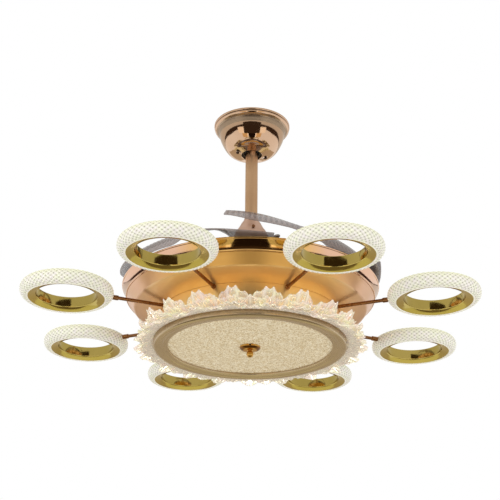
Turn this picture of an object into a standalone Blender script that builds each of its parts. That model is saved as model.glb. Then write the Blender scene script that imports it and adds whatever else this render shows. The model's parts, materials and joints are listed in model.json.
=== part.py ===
"""Chandelier ceiling fan with four folding crescent blades and eight ring lamps.

Metres, +Z up. The origin is on the ceiling, on the fan's axis. Names that end in _Z are measured from
the ceiling, and names that end in _H are measured up from the plane of the ring lamps.
"""

import math

import bmesh
import bpy
from mathutils import Matrix, Vector

# Clearances, and how far a cutter reaches past what it cuts
GAP = 0.0003
SCREW_GAP = 0.0003
RING_CLEARANCE = 0.0010
GEAR_BACKLASH = 0.0005
OVERSHOOT = 0.0020

# Hanging height
DROP = 0.430

# Ceiling bracket and its ball socket
STRAP_LENGTH = 0.120
STRAP_WIDTH = 0.024
STRAP_THICKNESS = 0.0025
STRAP_SLOT_AT = 0.048
STRAP_SLOT_LENGTH = 0.012
STRAP_SLOT_WIDTH = 0.005
LEG_SPAN = 0.077
LEG_WIDTH = 0.020
SOCKET_WALL = 0.0032
BRACKET_TURN = math.radians(20)
RECEIVER_LENGTH = 0.056
RECEIVER_WIDTH = 0.022
RECEIVER_HEIGHT = 0.013

# Canopy
CANOPY_R = 0.0778
CANOPY_DEPTH = 0.069
CANOPY_WALL = 0.0012
CANOPY_HOLE_R = 0.021
CANOPY_WAIST_R = 0.0672
CANOPY_WAIST_Z = -0.0220
CANOPY_SHOULDER_R = 0.0618
CANOPY_BOWL_R = 0.0570
CANOPY_BOWL_TOP_Z = -0.0350
CANOPY_BOWL_LOW_Z = -0.0460
CANOPY_FLOOR_R = 0.0460
CANOPY_FLOOR_RISE = 0.0035
CANOPY_SCREW_AT = 0.0305
CANOPY_SCREW_R = 0.0020
CANOPY_SCREW_HEAD_R = 0.0036
CANOPY_SCREW_HEAD = 0.0020

# Downrod and ball
ROD_R = 0.0125
ROD_WALL = 0.0020
BALL_R = 0.023
BALL_Z = -0.045
BALL_SWING = math.radians(8)
PIN_R = 0.0025

# Yoke under the rod, and its cone cover, whose shape is given in shares of its length and bottom radius
YOKE_CLEARANCE = 0.0100
YOKE_R = 0.019
YOKE_LENGTH = 0.0520
YOKE_FOOT = 0.0180
YOKE_BOLT_UP = 0.0160
YOKE_BOLT_R = 0.0030
YOKE_BOLT_HEAD_R = 0.0055
YOKE_BOLT_HEAD = 0.0035
YOKE_BOLT_TAIL = 0.0040
COVER_CLEARANCE = 0.0080
COVER_LENGTH = 0.0760
COVER_COLLAR = 0.0030
COVER_BOTTOM_R = 0.0410
COVER_SHAPE = ((0.0, 1.0), (0.395, 0.890), (0.605, 0.732), (0.724, 0.585), (0.855, 0.463))
COVER_WALL = 0.0014
COVER_SCREW_UP = 0.0250
COVER_SCREW_R = 0.0018
COVER_SCREW_HEAD_R = 0.0032
COVER_SCREW_HEAD = 0.0018
COVER_SCREW_STOP = 0.0030
COVER_SCREW_TURN = math.radians(-82)

# Motor: a fixed shaft and stator inside a turning shell
SHAFT_R = 0.0085
SHAFT_BORE_R = 0.0048
SHAFT_FLANGE_R = 0.030
SHAFT_FLANGE = 0.0040
SHAFT_STOP = 0.0020
MOTOR_R = 0.085
MOTOR_WALL = 0.003
MOTOR_SPLIT_H = 0.1050
MOTOR_TOP_H = 0.1320
MOTOR_SHOULDER = 0.0070
MOTOR_SHOULDER_DROP = 0.0060
MOTOR_HOLE_R = 0.012
BEARING_R = 0.0172
BEARING_WIDTH = 0.0080
BEARING_BOSS = 0.0030
STATOR_R = 0.0600
STATOR_BOTTOM_H = 0.0860
STATOR_TOP_H = 0.1120
STATOR_TEETH = 12

# Blade carrier and the gears that keep the four blades in step
CARRIER_EDGE = 0.0170
CARRIER_H = 0.0640
CARRIER_THICKNESS = 0.0025
CARRIER_WINDOW_R = 0.024
CARRIER_WINDOW_AT = 0.130
PIVOT_INSET = 0.0310
PIVOT_COUNT = 4
PIVOT_TURN = math.radians(5)
STUD_R = 0.0040
STUD_HEAD_R = 0.0065
STUD_HEAD = 0.0016
GEAR_THICKNESS = 0.0030
HUB_TEETH = 14
RING_TEETH = 56
HUB_BOSS_R = 0.0110
HUB_BOSS = 0.0070
HUB_PAD_LENGTH = 0.034
HUB_PAD_WIDTH = 0.030
BLADE_OPENS = math.radians(115)
RING_WINDOWS = 4
RING_WINDOW_SHARE = 0.44

# Blades
BLADE_THICKNESS = 0.0020
BLADE_SPAN = math.radians(106)
BLADE_HEEL = math.radians(5)
BLADE_OUTER_R = 0.2530
BLADE_ROOT_STEP = 0.0170
BLADE_ROOT_WIDTH = 0.0580
BLADE_WIDTH = 0.0890
BLADE_TIP_WIDTH = 0.0200
BLADE_ROOT_LIFT = 0.0035
BLADE_BODY_LIFT = 0.0080
BLADE_TIP_LIFT = 0.0230
BLADE_PITCH = math.radians(24.5)
BLADE_TIP_PITCH = math.radians(16)
BLADE_SECTIONS = 15

# Lamp housing
RIM_R = 0.2485
RIM_TOP_H = 0.0610
RIM_ROLL = 0.0035
RIM_ROLL_DEPTH = 0.0090
RIM_GUTTER = 0.0055
RIM_BOTTOM_R = 0.2385
RIM_BOTTOM_H = 0.0375
TOP_PLATE_H = 0.0460
TOP_PLATE_THICKNESS = 0.0020
SHEET = 0.0015
BOWL_INSET = 0.0006
TIER_BOTTOM_R = 0.2230
TIER_BOTTOM_H = 0.0180
BOWL_INNER_H = 0.0060

# Lamp drum, board, diffuser and finial
DRUM_R = 0.1720
DRUM_TOP_H = 0.0090
DRUM_BOTTOM_H = -0.0480
NECK_R = 0.020
NECK_FLANGE_R = 0.026
NECK_FLANGE = 0.0020
BOARD_R = 0.150
BOARD_CLEARANCE = 0.0040
BOARD_THICKNESS = 0.0015
DIFFUSER_R = 0.1585
DIFFUSER_THICKNESS = 0.0030
BEZEL_R = 0.1840
BEZEL_INNER_R = 0.1560
BEZEL_BOTTOM_H = -0.0595
BEZEL_BEVEL = 0.0035
BEZEL_LIP = 0.0012
STUD_ROD_R = 0.0045
STUD_ROD_TOP_H = 0.0550
FINIAL_CAP_R = 0.0200
FINIAL_CAP = 0.0036
FINIAL_NECK_R = 0.0040
FINIAL_BALL_R = 0.0067
FINIAL_BALL_DROP = 0.0107

# Crystal skirt
SKIRT_FLANGE_R = 0.1950
SKIRT_FLANGE = 0.0035
PETALS = 20
PETAL_BASE_R = 0.1850
UPPER_TIP_R = 0.2260
UPPER_TIP_H = -0.0290
LOWER_TIP_R = 0.2260
LOWER_TIP_H = -0.0680
UPPER_PETAL_WIDTH = 0.0540
LOWER_PETAL_WIDTH = 0.0460
PETAL_THICKNESS = 0.0075
PETAL_FULLNESS = 0.15

# Ring lamps and their arms
LAMPS = 8
LAMP_TURN = math.radians(22.5)
LAMP_CIRCLE_R = 0.360
BAND_R = 0.0560
BAND_WALL = 0.0015
BAND_TOP_H = 0.0105
FLANGE_R = 0.0690
FLANGE_H = -0.0140
FLANGE_INNER_H = -0.0058
FLANGE_THICKNESS = 0.0020
CRYSTAL_R = 0.0850
CRYSTAL_HALF_HEIGHT = 0.0130
CRYSTAL_BEVEL = 0.0080
CRYSTAL_LIP = 0.0010
RING_STEPS = 18
ARM_R = 0.0033
ARM_H = 0.0022
SLEEVE_R = 0.0050
SLEEVE_OVERHANG = 0.0120
ARM_TUCK = 0.0060

# How finely round pieces are stepped
LARGE_STEPS = 32
MEDIUM_STEPS = 24
SMALL_STEPS = 16
TINY_STEPS = 10

# Heights and radii that follow from the sizes above
YOKE_BOTTOM_H = MOTOR_TOP_H + YOKE_CLEARANCE
YOKE_FLOOR_H = YOKE_BOTTOM_H + YOKE_FOOT
YOKE_TOP_H = YOKE_BOTTOM_H + YOKE_LENGTH
YOKE_BOLT_H = YOKE_FLOOR_H + YOKE_BOLT_UP
COVER_BOTTOM_H = MOTOR_TOP_H + COVER_CLEARANCE
COVER_TOP_H = COVER_BOTTOM_H + COVER_LENGTH
COVER_SCREW_H = YOKE_FLOOR_H + COVER_SCREW_UP
BLADE_ROOT_OUTER_R = BLADE_OUTER_R - BLADE_ROOT_STEP
PIVOT_AT = BLADE_ROOT_OUTER_R - PIVOT_INSET
CARRIER_R = PIVOT_AT + CARRIER_EDGE
CARRIER_TOP_H = CARRIER_H + CARRIER_THICKNESS
GEAR_H = CARRIER_TOP_H + GAP
GEAR_TOP_H = GEAR_H + GEAR_THICKNESS
BLADE_ROOT_H = GEAR_TOP_H + GAP + BLADE_THICKNESS / 2
HUB_BOSS_TOP_H = GEAR_TOP_H + HUB_BOSS
STUD_HEAD_H = HUB_BOSS_TOP_H + GAP
MODULE = 2 * PIVOT_AT / (HUB_TEETH + RING_TEETH)
HUB_PITCH_R = MODULE * HUB_TEETH / 2
RING_PITCH_R = MODULE * RING_TEETH / 2
RING_OPENS = BLADE_OPENS * HUB_TEETH / RING_TEETH
PLATE_TOP_H = TOP_PLATE_H + TOP_PLATE_THICKNESS
SHAFT_FLANGE_H = TOP_PLATE_H - GAP - SHAFT_FLANGE
NECK_TOP_H = SHAFT_FLANGE_H - GAP
DIFFUSER_H = BEZEL_BOTTOM_H + BEZEL_BEVEL + BEZEL_LIP + GAP
BEZEL_TOP_H = DRUM_BOTTOM_H - GAP
SKIRT_H = BEZEL_TOP_H + GAP
ROD_HOLE_R = ROD_R + GAP
SHAFT_HOLE_R = SHAFT_R + GAP


def clear_scene():
    for obj in list(bpy.data.objects):
        bpy.data.objects.remove(obj)


def new_collection(name):
    collection = bpy.data.collections.new(name)
    bpy.context.scene.collection.children.link(collection)
    return collection


def new_material(name, colour, roughness, metallic, alpha=1.0):
    material = bpy.data.materials.new(name)
    material.use_nodes = True
    shader = material.node_tree.nodes["Principled BSDF"]
    shader.inputs["Base Color"].default_value = (*colour, 1.0)
    shader.inputs["Roughness"].default_value = roughness
    shader.inputs["Metallic"].default_value = metallic
    shader.inputs["Alpha"].default_value = alpha
    material.diffuse_color = (*colour, alpha)
    return material


def height(h):
    """Height above the lamps' plane, as a height from the ceiling."""
    return h - DROP


def lowered(profile):
    """A profile given with heights above the lamps' plane, measured from the ceiling."""
    return [(r, height(h)) for r, h in profile]


def polar(radius, angle, z=0.0):
    return Vector((radius * math.cos(angle), radius * math.sin(angle), z))


def arc(centre, radius, start, end, count):
    """Points of an arc in the plane, both ends included."""
    step = (end - start) / (count - 1)
    angles = [start + step * i for i in range(count)]
    return [(centre[0] + radius * math.cos(a), centre[1] + radius * math.sin(a)) for a in angles]


def circle(radius, count, centre=(0.0, 0.0)):
    return arc(centre, radius, 0.0, math.tau * (count - 1) / count, count)


def add_object(name, data, material, collection):
    obj = bpy.data.objects.new(name, data)
    collection.objects.link(obj)
    if material:
        data.materials.append(material)
    return obj


def mesh_from(bm, name):
    mesh = bpy.data.meshes.new(name)
    bm.to_mesh(mesh)
    bm.free()
    return mesh


def turned(name, profile, material, steps, closed=True):
    """A profile of (radius, z) turned about Z. It runs down the outer side first."""
    bm = bmesh.new()
    corners = [bm.verts.new((r, 0.0, z)) for r, z in profile]
    for start, end in zip(corners, corners[1:]):
        bm.edges.new((start, end))
    if closed:
        bm.edges.new((corners[-1], corners[0]))
    obj = add_object(name, mesh_from(bm, name), material, PARTS)
    screw = obj.modifiers.new("turn", "SCREW")
    screw.steps = steps
    screw.render_steps = steps
    screw.use_merge_vertices = True
    screw.merge_threshold = 0.00001
    screw.use_smooth_shade = False
    return obj


def prism(name, loops, low, high, material):
    """Flat outlines, with the inner ones as holes, raised from one height to another."""
    curve = bpy.data.curves.new(name, "CURVE")
    curve.dimensions = "2D"
    curve.fill_mode = "BOTH"
    curve.extrude = (high - low) / 2
    for loop in loops:
        spline = curve.splines.new("POLY")
        spline.points.add(len(loop) - 1)
        for point, (x, y) in zip(spline.points, loop):
            point.co = (x, y, 0.0, 1.0)
        spline.use_cyclic_u = True
    obj = add_object(name, curve, material, PARTS)
    obj.location.z = (high + low) / 2
    return as_mesh(obj)


def as_mesh(obj):
    """The object with its modifiers and its curve turned into one plain welded mesh, under the same name."""
    bpy.context.view_layer.update()
    evaluated = obj.evaluated_get(bpy.context.evaluated_depsgraph_get())
    mesh = bpy.data.meshes.new_from_object(evaluated)
    bm = bmesh.new()
    bm.from_mesh(mesh)
    bmesh.ops.remove_doubles(bm, verts=bm.verts, dist=0.000002)
    bm.to_mesh(mesh)
    bm.free()
    name = obj.name
    place = obj.matrix_world.copy()
    bpy.data.objects.remove(obj)
    mesh.name = name
    made = bpy.data.objects.new(name, mesh)
    PARTS.objects.link(made)
    made.matrix_world = place
    return made


def rod(name, radius, start, end, material, sides=TINY_STEPS):
    """A round bar between two points."""
    start = Vector(start)
    end = Vector(end)
    bm = bmesh.new()
    length = (end - start).length
    turn = (end - start).to_track_quat("Z", "Y").to_matrix().to_4x4()
    place = Matrix.Translation((start + end) / 2) @ turn
    bmesh.ops.create_cone(
        bm, cap_ends=True, segments=sides, radius1=radius, radius2=radius, depth=length, matrix=place
    )
    return add_object(name, mesh_from(bm, name), material, PARTS)


def box(name, size, centre, material):
    bm = bmesh.new()
    place = Matrix.Translation(centre) @ Matrix.Diagonal((*size, 1.0))
    bmesh.ops.create_cube(bm, size=1.0, matrix=place)
    return add_object(name, mesh_from(bm, name), material, PARTS)


def as_tool(tool):
    """Puts a piece that only shapes another one among the cutters."""
    PARTS.objects.unlink(tool)
    CUTTERS.objects.link(tool)
    tool.hide_render = True
    tool.display_type = "WIRE"


def shape_with(obj, tool, operation):
    as_tool(tool)
    boolean = obj.modifiers.new(tool.name, "BOOLEAN")
    boolean.operation = operation
    boolean.solver = "EXACT"
    boolean.object = tool
    return obj


def cut(obj, tool):
    return shape_with(obj, tool, "DIFFERENCE")


def join(obj, tool):
    return shape_with(obj, tool, "UNION")


def copies(source, count, first_angle, centre_r):
    """Copies of a piece that share its mesh, set round the axis. The first keeps the source's place."""
    mesh = source.data
    name = source.name
    base = source.location.copy()
    bpy.data.objects.remove(source)
    made = []
    for i in range(count):
        angle = first_angle + math.tau * i / count
        obj = bpy.data.objects.new(f"{name}_{i + 1}", mesh)
        PARTS.objects.link(obj)
        obj.location = polar(centre_r, angle, base.z)
        obj.rotation_euler.z = angle
        made.append(obj)
    return made


def canopy_floor_z(radius):
    """The outer face of the canopy's shallow floor."""
    slope = CANOPY_FLOOR_RISE / (CANOPY_FLOOR_R - CANOPY_HOLE_R)
    return -CANOPY_DEPTH + slope * (radius - CANOPY_HOLE_R)


def canopy_screw_place(side):
    return polar(CANOPY_SCREW_AT, BRACKET_TURN + (0.0 if side > 0 else math.pi))


def make_canopy():
    floor_z = canopy_floor_z(CANOPY_FLOOR_R)
    outer = [
        (CANOPY_R, -0.0008),
        (CANOPY_R, -0.0045),
        (CANOPY_R - 0.0018, -0.0056),
        (CANOPY_R - 0.0012, -0.0075),
        (CANOPY_R - 0.0015, -0.0105),
        (CANOPY_R - 0.0080, -0.0138),
        (CANOPY_R - 0.0094, -0.0175),
        (CANOPY_WAIST_R, CANOPY_WAIST_Z),
        (CANOPY_SHOULDER_R, CANOPY_BOWL_TOP_Z),
        (CANOPY_BOWL_R, CANOPY_BOWL_LOW_Z),
        (CANOPY_BOWL_R - 0.0016, floor_z + 0.0095),
        (CANOPY_BOWL_R - 0.0056, floor_z + 0.0030),
        (CANOPY_FLOOR_R, floor_z),
        (CANOPY_HOLE_R, -CANOPY_DEPTH),
    ]
    inner = [
        (CANOPY_HOLE_R, -CANOPY_DEPTH + CANOPY_WALL),
        (CANOPY_FLOOR_R - 0.0004, floor_z + CANOPY_WALL),
        (CANOPY_BOWL_R - 0.0030, floor_z + 0.0095),
        (CANOPY_BOWL_R - CANOPY_WALL, CANOPY_BOWL_LOW_Z),
        (CANOPY_SHOULDER_R - CANOPY_WALL, CANOPY_BOWL_TOP_Z),
        (CANOPY_WAIST_R - CANOPY_WALL, CANOPY_WAIST_Z + 0.0005),
        (CANOPY_R - 0.0100, -0.0125),
        (CANOPY_R - 0.0032, -0.0095),
        (CANOPY_R - 0.0032, -0.0008),
    ]
    canopy = turned("canopy", outer + inner, ROSE_GOLD, MEDIUM_STEPS)
    for side in (1, -1):
        at = canopy_screw_place(side)
        hole_r = CANOPY_SCREW_R + SCREW_GAP
        low = Vector((at.x, at.y, -CANOPY_DEPTH - OVERSHOOT))
        high = Vector((at.x, at.y, canopy_floor_z(CANOPY_FLOOR_R) + OVERSHOOT))
        cut(canopy, rod(f"canopy_hole_{side}", hole_r, low, high, None))
    return canopy


def bracket_foot_z():
    """Underside of the bracket's feet, just clear of the canopy's floor at the legs' corners."""
    corner = math.hypot(LEG_SPAN / 2, LEG_WIDTH / 2)
    return canopy_floor_z(corner) + CANOPY_WALL + 2 * GAP


def make_canopy_screws():
    head_top = canopy_floor_z(CANOPY_SCREW_AT - CANOPY_SCREW_HEAD_R) - GAP
    for side, word in ((1, "right"), (-1, "left")):
        at = canopy_screw_place(side)
        tip = bracket_foot_z() + STRAP_THICKNESS + 0.003
        profile = [
            (0.0, tip),
            (CANOPY_SCREW_R, tip),
            (CANOPY_SCREW_R, head_top),
            (CANOPY_SCREW_HEAD_R, head_top),
            (CANOPY_SCREW_HEAD_R * 0.72, head_top - CANOPY_SCREW_HEAD),
            (0.0, head_top - CANOPY_SCREW_HEAD),
        ]
        screw = turned(f"canopy_screw_{word}", profile, DARK_STEEL, TINY_STEPS, closed=False)
        screw.location.x = at.x
        screw.location.y = at.y


def make_ceiling_bracket():
    """A strap bent into two legs with feet, which carry a cup with a side slot that the ball drops into."""
    foot = bracket_foot_z()
    leg = LEG_SPAN / 2
    seat_r = BALL_R + GAP
    cup_r = seat_r + SOCKET_WALL
    thick = STRAP_THICKNESS
    bracket = box("ceiling_bracket", (STRAP_LENGTH, STRAP_WIDTH, thick), (0, 0, -thick / 2), STEEL)
    bracket.rotation_euler.z = BRACKET_TURN
    bend = [(leg, -thick / 2), (leg, foot), (cup_r - 0.001, foot), (cup_r - 0.001, foot + thick)]
    bend += [(leg - thick, foot + thick), (leg - thick, -thick / 2)]
    for side, turn in ((1, 0.0), (-1, math.pi)):
        limb = prism(f"bracket_leg_{side}", [bend], -LEG_WIDTH / 2, LEG_WIDTH / 2, STEEL)
        limb.rotation_euler = (math.pi / 2, 0.0, BRACKET_TURN + turn)
        join(bracket, limb)
    cup_low = foot - 2 * GAP
    throat = ROD_R / math.cos(BALL_SWING) + (BALL_Z - cup_low) * math.tan(BALL_SWING) + GAP
    throat_angle = math.acos(throat / seat_r)
    seat = arc((0.0, BALL_Z), seat_r, -throat_angle, 0.0, 6)
    profile = [(cup_r, BALL_Z), (cup_r, cup_low), (throat, cup_low)] + seat
    join(bracket, turned("socket_cup", profile, STEEL, MEDIUM_STEPS))
    turn = Matrix.Rotation(BRACKET_TURN, 4, "Z")
    slot = box("socket_slot", (2 * ROD_HOLE_R, cup_r + 0.01, -foot - 0.01), (0, 0, 0), None)
    slot.matrix_world = turn @ Matrix.Translation((0.0, -(cup_r + 0.01) / 2, foot / 2 - 0.015))
    cut(bracket, slot)
    for side in (1, -1):
        at = polar(side * STRAP_SLOT_AT, BRACKET_TURN)
        size = (STRAP_SLOT_LENGTH, STRAP_SLOT_WIDTH, 0.02)
        tool = box(f"strap_slot_{side}", size, (0, 0, 0), None)
        tool.matrix_world = Matrix.Translation(at) @ turn
        cut(bracket, tool)
        at = canopy_screw_place(side)
        low = Vector((at.x, at.y, foot - OVERSHOOT))
        high = Vector((at.x, at.y, foot + thick + OVERSHOOT))
        cut(bracket, rod(f"foot_hole_{side}", CANOPY_SCREW_R + SCREW_GAP, low, high, None))
    return bracket


def make_receiver():
    top = -STRAP_THICKNESS - GAP
    size = (RECEIVER_LENGTH, RECEIVER_WIDTH, RECEIVER_HEIGHT)
    receiver = box("receiver_box", size, (0, 0, top - RECEIVER_HEIGHT / 2), BLACK_PLASTIC)
    receiver.rotation_euler.z = BRACKET_TURN
    bevel = receiver.modifiers.new("soft_edges", "BEVEL")
    bevel.width = 0.0015
    bevel.segments = 1
    return receiver


def make_ball_and_rod():
    edge = math.acos(ROD_HOLE_R / BALL_R)
    ball = turned("hanger_ball", arc((0.0, BALL_Z), BALL_R, edge, -edge, 8), BLACK_PLASTIC, SMALL_STEPS)
    centre = Vector((0.0, 0.0, BALL_Z))
    reach = Vector((BALL_R + 0.005, 0.0, 0.0))
    cut(ball, rod("ball_cross_hole", PIN_R + GAP, centre - reach, centre + reach, None))

    pin_half = Vector((BALL_R - 0.002, 0.0, 0.0))
    rod("ball_pin", PIN_R, centre - pin_half, centre + pin_half, DARK_STEEL)

    top = BALL_Z + 0.0165
    bottom = height(YOKE_FLOOR_H) + GAP
    bore = ROD_R - ROD_WALL
    profile = [(ROD_R, top), (ROD_R, bottom), (bore, bottom), (bore, top)]
    downrod = turned("downrod", profile, ROSE_GOLD, SMALL_STEPS)
    cut(downrod, rod("rod_pin_hole", PIN_R + GAP, centre - reach, centre + reach, None))
    at = Vector((0.0, 0.0, height(YOKE_BOLT_H)))
    cut(downrod, rod("rod_bolt_hole", YOKE_BOLT_R + GAP, at - reach, at + reach, None))


def cover_levels():
    """Heights and outer radii of the cone cover, from its bottom to its collar."""
    shape = [(COVER_BOTTOM_H + up * COVER_LENGTH, out * COVER_BOTTOM_R) for up, out in COVER_SHAPE]
    return shape + [(COVER_TOP_H - COVER_COLLAR, ROD_HOLE_R + COVER_WALL)]


def cover_r(h):
    """Outer radius of the cone cover at a height."""
    shape = cover_levels()
    for (low, low_r), (high, high_r) in zip(shape, shape[1:]):
        if h <= high:
            return low_r + (high_r - low_r) * (h - low) / (high - low)
    return shape[-1][1]


def make_yoke_and_cover():
    levels = [COVER_TOP_H] + [h for h, _ in reversed(cover_levels())]
    outer = [(cover_r(h), h) for h in levels]
    inner = [(cover_r(h) - COVER_WALL, h) for h in reversed(levels)]
    cover = turned("yoke_cover", lowered(outer + inner), ROSE_GOLD, SMALL_STEPS)

    hub = [(YOKE_R, YOKE_TOP_H), (YOKE_R, YOKE_BOTTOM_H), (SHAFT_HOLE_R, YOKE_BOTTOM_H)]
    hub += [(SHAFT_HOLE_R, YOKE_FLOOR_H), (ROD_HOLE_R, YOKE_FLOOR_H), (ROD_HOLE_R, YOKE_TOP_H)]
    yoke = turned("yoke", lowered(hub), STEEL, SMALL_STEPS)

    at = Vector((0.0, 0.0, height(YOKE_BOLT_H)))
    tail = Vector((YOKE_R + YOKE_BOLT_TAIL, 0.0, 0.0))
    seat = Vector((YOKE_R + GAP, 0.0, 0.0))
    head_end = seat + Vector((YOKE_BOLT_HEAD, 0.0, 0.0))
    cut(yoke, rod("yoke_bolt_hole", YOKE_BOLT_R + GAP, at - tail, at + tail, None))
    bolt = rod("yoke_bolt", YOKE_BOLT_R, at - tail, at + (seat + head_end) / 2, DARK_STEEL)
    join(bolt, rod("yoke_bolt_head", YOKE_BOLT_HEAD_R, at + seat, at + head_end, None, sides=6))

    screw_at = Vector((0.0, 0.0, height(COVER_SCREW_H)))
    outward = polar(1.0, COVER_SCREW_TURN)
    head_r = cover_r(COVER_SCREW_H - COVER_SCREW_HEAD_R) + GAP
    hole_r = COVER_SCREW_R + SCREW_GAP
    tip_r = ROD_HOLE_R + COVER_SCREW_STOP
    in_cover = (screw_at + outward * (YOKE_R + 0.001), screw_at + outward * (head_r + 0.004))
    cut(cover, rod("cover_hole", hole_r, *in_cover, None))
    in_yoke = (screw_at + outward * (tip_r - GAP), screw_at + outward * (YOKE_R + 0.002))
    cut(yoke, rod("yoke_screw_hole", hole_r, *in_yoke, None))
    shank = (screw_at + outward * tip_r, screw_at + outward * (head_r + 0.0005))
    screw = rod("cover_screw", COVER_SCREW_R, *shank, DARK_STEEL)
    head = (screw_at + outward * head_r, screw_at + outward * (head_r + COVER_SCREW_HEAD))
    join(screw, rod("cover_screw_head", COVER_SCREW_HEAD_R, *head, None))


def make_motor():
    top = YOKE_FLOOR_H - SHAFT_STOP
    shaft = [(SHAFT_R, top), (SHAFT_R, SHAFT_FLANGE_H + SHAFT_FLANGE)]
    shaft += [(SHAFT_FLANGE_R, SHAFT_FLANGE_H + SHAFT_FLANGE), (SHAFT_FLANGE_R, SHAFT_FLANGE_H)]
    shaft += [(SHAFT_BORE_R, SHAFT_FLANGE_H), (SHAFT_BORE_R, top)]
    turned("motor_shaft", lowered(shaft), STEEL, SMALL_STEPS)

    boss_in = BEARING_R + GAP
    boss_out = boss_in + BEARING_BOSS
    wall = MOTOR_R - MOTOR_WALL
    floor = GEAR_H + MOTOR_WALL
    boss_top = floor + GAP + BEARING_WIDTH
    shell = [(MOTOR_R, MOTOR_SPLIT_H), (MOTOR_R, GEAR_H), (MOTOR_HOLE_R, GEAR_H), (MOTOR_HOLE_R, floor)]
    shell += [(boss_in, floor), (boss_in, boss_top), (boss_out, boss_top), (boss_out, floor)]
    shell += [(wall, floor), (wall, MOTOR_SPLIT_H)]
    turned("motor_shell", lowered(shell), STEEL, MEDIUM_STEPS)

    ceiling = MOTOR_TOP_H - MOTOR_WALL
    boss_low = ceiling - GAP - BEARING_WIDTH
    split = MOTOR_SPLIT_H + GAP
    shoulder_h = MOTOR_TOP_H - MOTOR_SHOULDER_DROP
    cap = [(MOTOR_R - MOTOR_SHOULDER, MOTOR_TOP_H), (MOTOR_R, shoulder_h), (MOTOR_R, split)]
    cap += [(wall, split), (wall, shoulder_h - 0.001), (wall - MOTOR_SHOULDER + 0.0015, ceiling)]
    cap += [(boss_out, ceiling), (boss_out, boss_low), (boss_in, boss_low), (boss_in, ceiling)]
    cap += [(MOTOR_HOLE_R, ceiling), (MOTOR_HOLE_R, MOTOR_TOP_H)]
    turned("motor_cap", lowered(cap), STEEL, MEDIUM_STEPS)

    for name, low in (("lower_bearing", floor + GAP), ("upper_bearing", ceiling - GAP - BEARING_WIDTH)):
        high = low + BEARING_WIDTH - GAP
        ring = [(BEARING_R, high), (BEARING_R, low), (SHAFT_HOLE_R, low), (SHAFT_HOLE_R, high)]
        turned(name, lowered(ring), STEEL, SMALL_STEPS)


def make_stator():
    """A toothed lamination stack on the shaft, with room for the coils between its teeth."""
    pitch = math.tau / STATOR_TEETH
    loop = []
    for i in range(STATOR_TEETH):
        middle = pitch * i
        loop += arc((0.0, 0.0), STATOR_R, middle - 0.36 * pitch, middle + 0.36 * pitch, 2)
        for side, level in ((0.30, 0.90), (0.20, 0.55), (0.80, 0.55), (0.70, 0.90)):
            point = polar(STATOR_R * level, middle + side * pitch)
            loop.append((point.x, point.y))
    bore = circle(SHAFT_HOLE_R, SMALL_STEPS)
    stack = (height(STATOR_BOTTOM_H), height(STATOR_TOP_H))
    prism("stator", [loop, bore], *stack, COPPER)


def involute(angle):
    return math.tan(angle) - angle


def tooth_half_angle(pitch_r, radius):
    """Half the angle that a gear tooth takes up at a radius."""
    pressure = math.radians(20)
    base_r = pitch_r * math.cos(pressure)
    at_pitch = (math.pi * MODULE - GEAR_BACKLASH) / (4 * pitch_r)
    if radius <= base_r:
        return at_pitch + involute(pressure)
    return at_pitch + involute(pressure) - involute(math.acos(base_r / radius))


def gear_teeth(pitch_r, first, count, teeth):
    """Outline of a run of teeth, counter-clockwise. The first is centred on an angle."""
    root_r = pitch_r - 1.05 * MODULE
    tip_r = pitch_r + 0.80 * MODULE
    flank = [root_r, pitch_r, tip_r]
    points = []
    for i in range(count):
        centre = first + math.tau * i / teeth
        sides = [(r, tooth_half_angle(pitch_r, r)) for r in flank]
        points += [polar(r, centre - half) for r, half in sides]
        points += [polar(r, centre + half) for r, half in reversed(sides)]
    return [(p.x, p.y) for p in points], root_r


def make_sync_gear():
    """The ring gear round the motor, which keeps the blades in step. Only the arcs in use are toothed."""
    tooth = math.tau / RING_TEETH
    before = 1
    count = math.ceil(RING_OPENS / tooth) + 1 + 2 * before
    outline = []
    for i in range(PIVOT_COUNT):
        pivot = PIVOT_TURN + math.tau * i / PIVOT_COUNT
        first = pivot - before * tooth
        teeth, root_r = gear_teeth(RING_PITCH_R, first, count, RING_TEETH)
        outline += teeth
        gap_start = first + count * tooth
        gap_end = first + math.tau / PIVOT_COUNT - tooth
        outline += arc((0.0, 0.0), root_r, gap_start, gap_end, 6)
    bore_r = MOTOR_R + RING_CLEARANCE
    loops = [outline, circle(bore_r, LARGE_STEPS)]
    window_r = (root_r - bore_r) / 2 * RING_WINDOW_SHARE
    for i in range(RING_WINDOWS):
        at = polar((root_r + bore_r) / 2, PIVOT_TURN + math.tau * (i + 0.5) / RING_WINDOWS)
        loops.append(circle(window_r, TINY_STEPS, (at.x, at.y)))
    prism("sync_gear", loops, height(GEAR_H), height(GEAR_TOP_H), BRASS)


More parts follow.
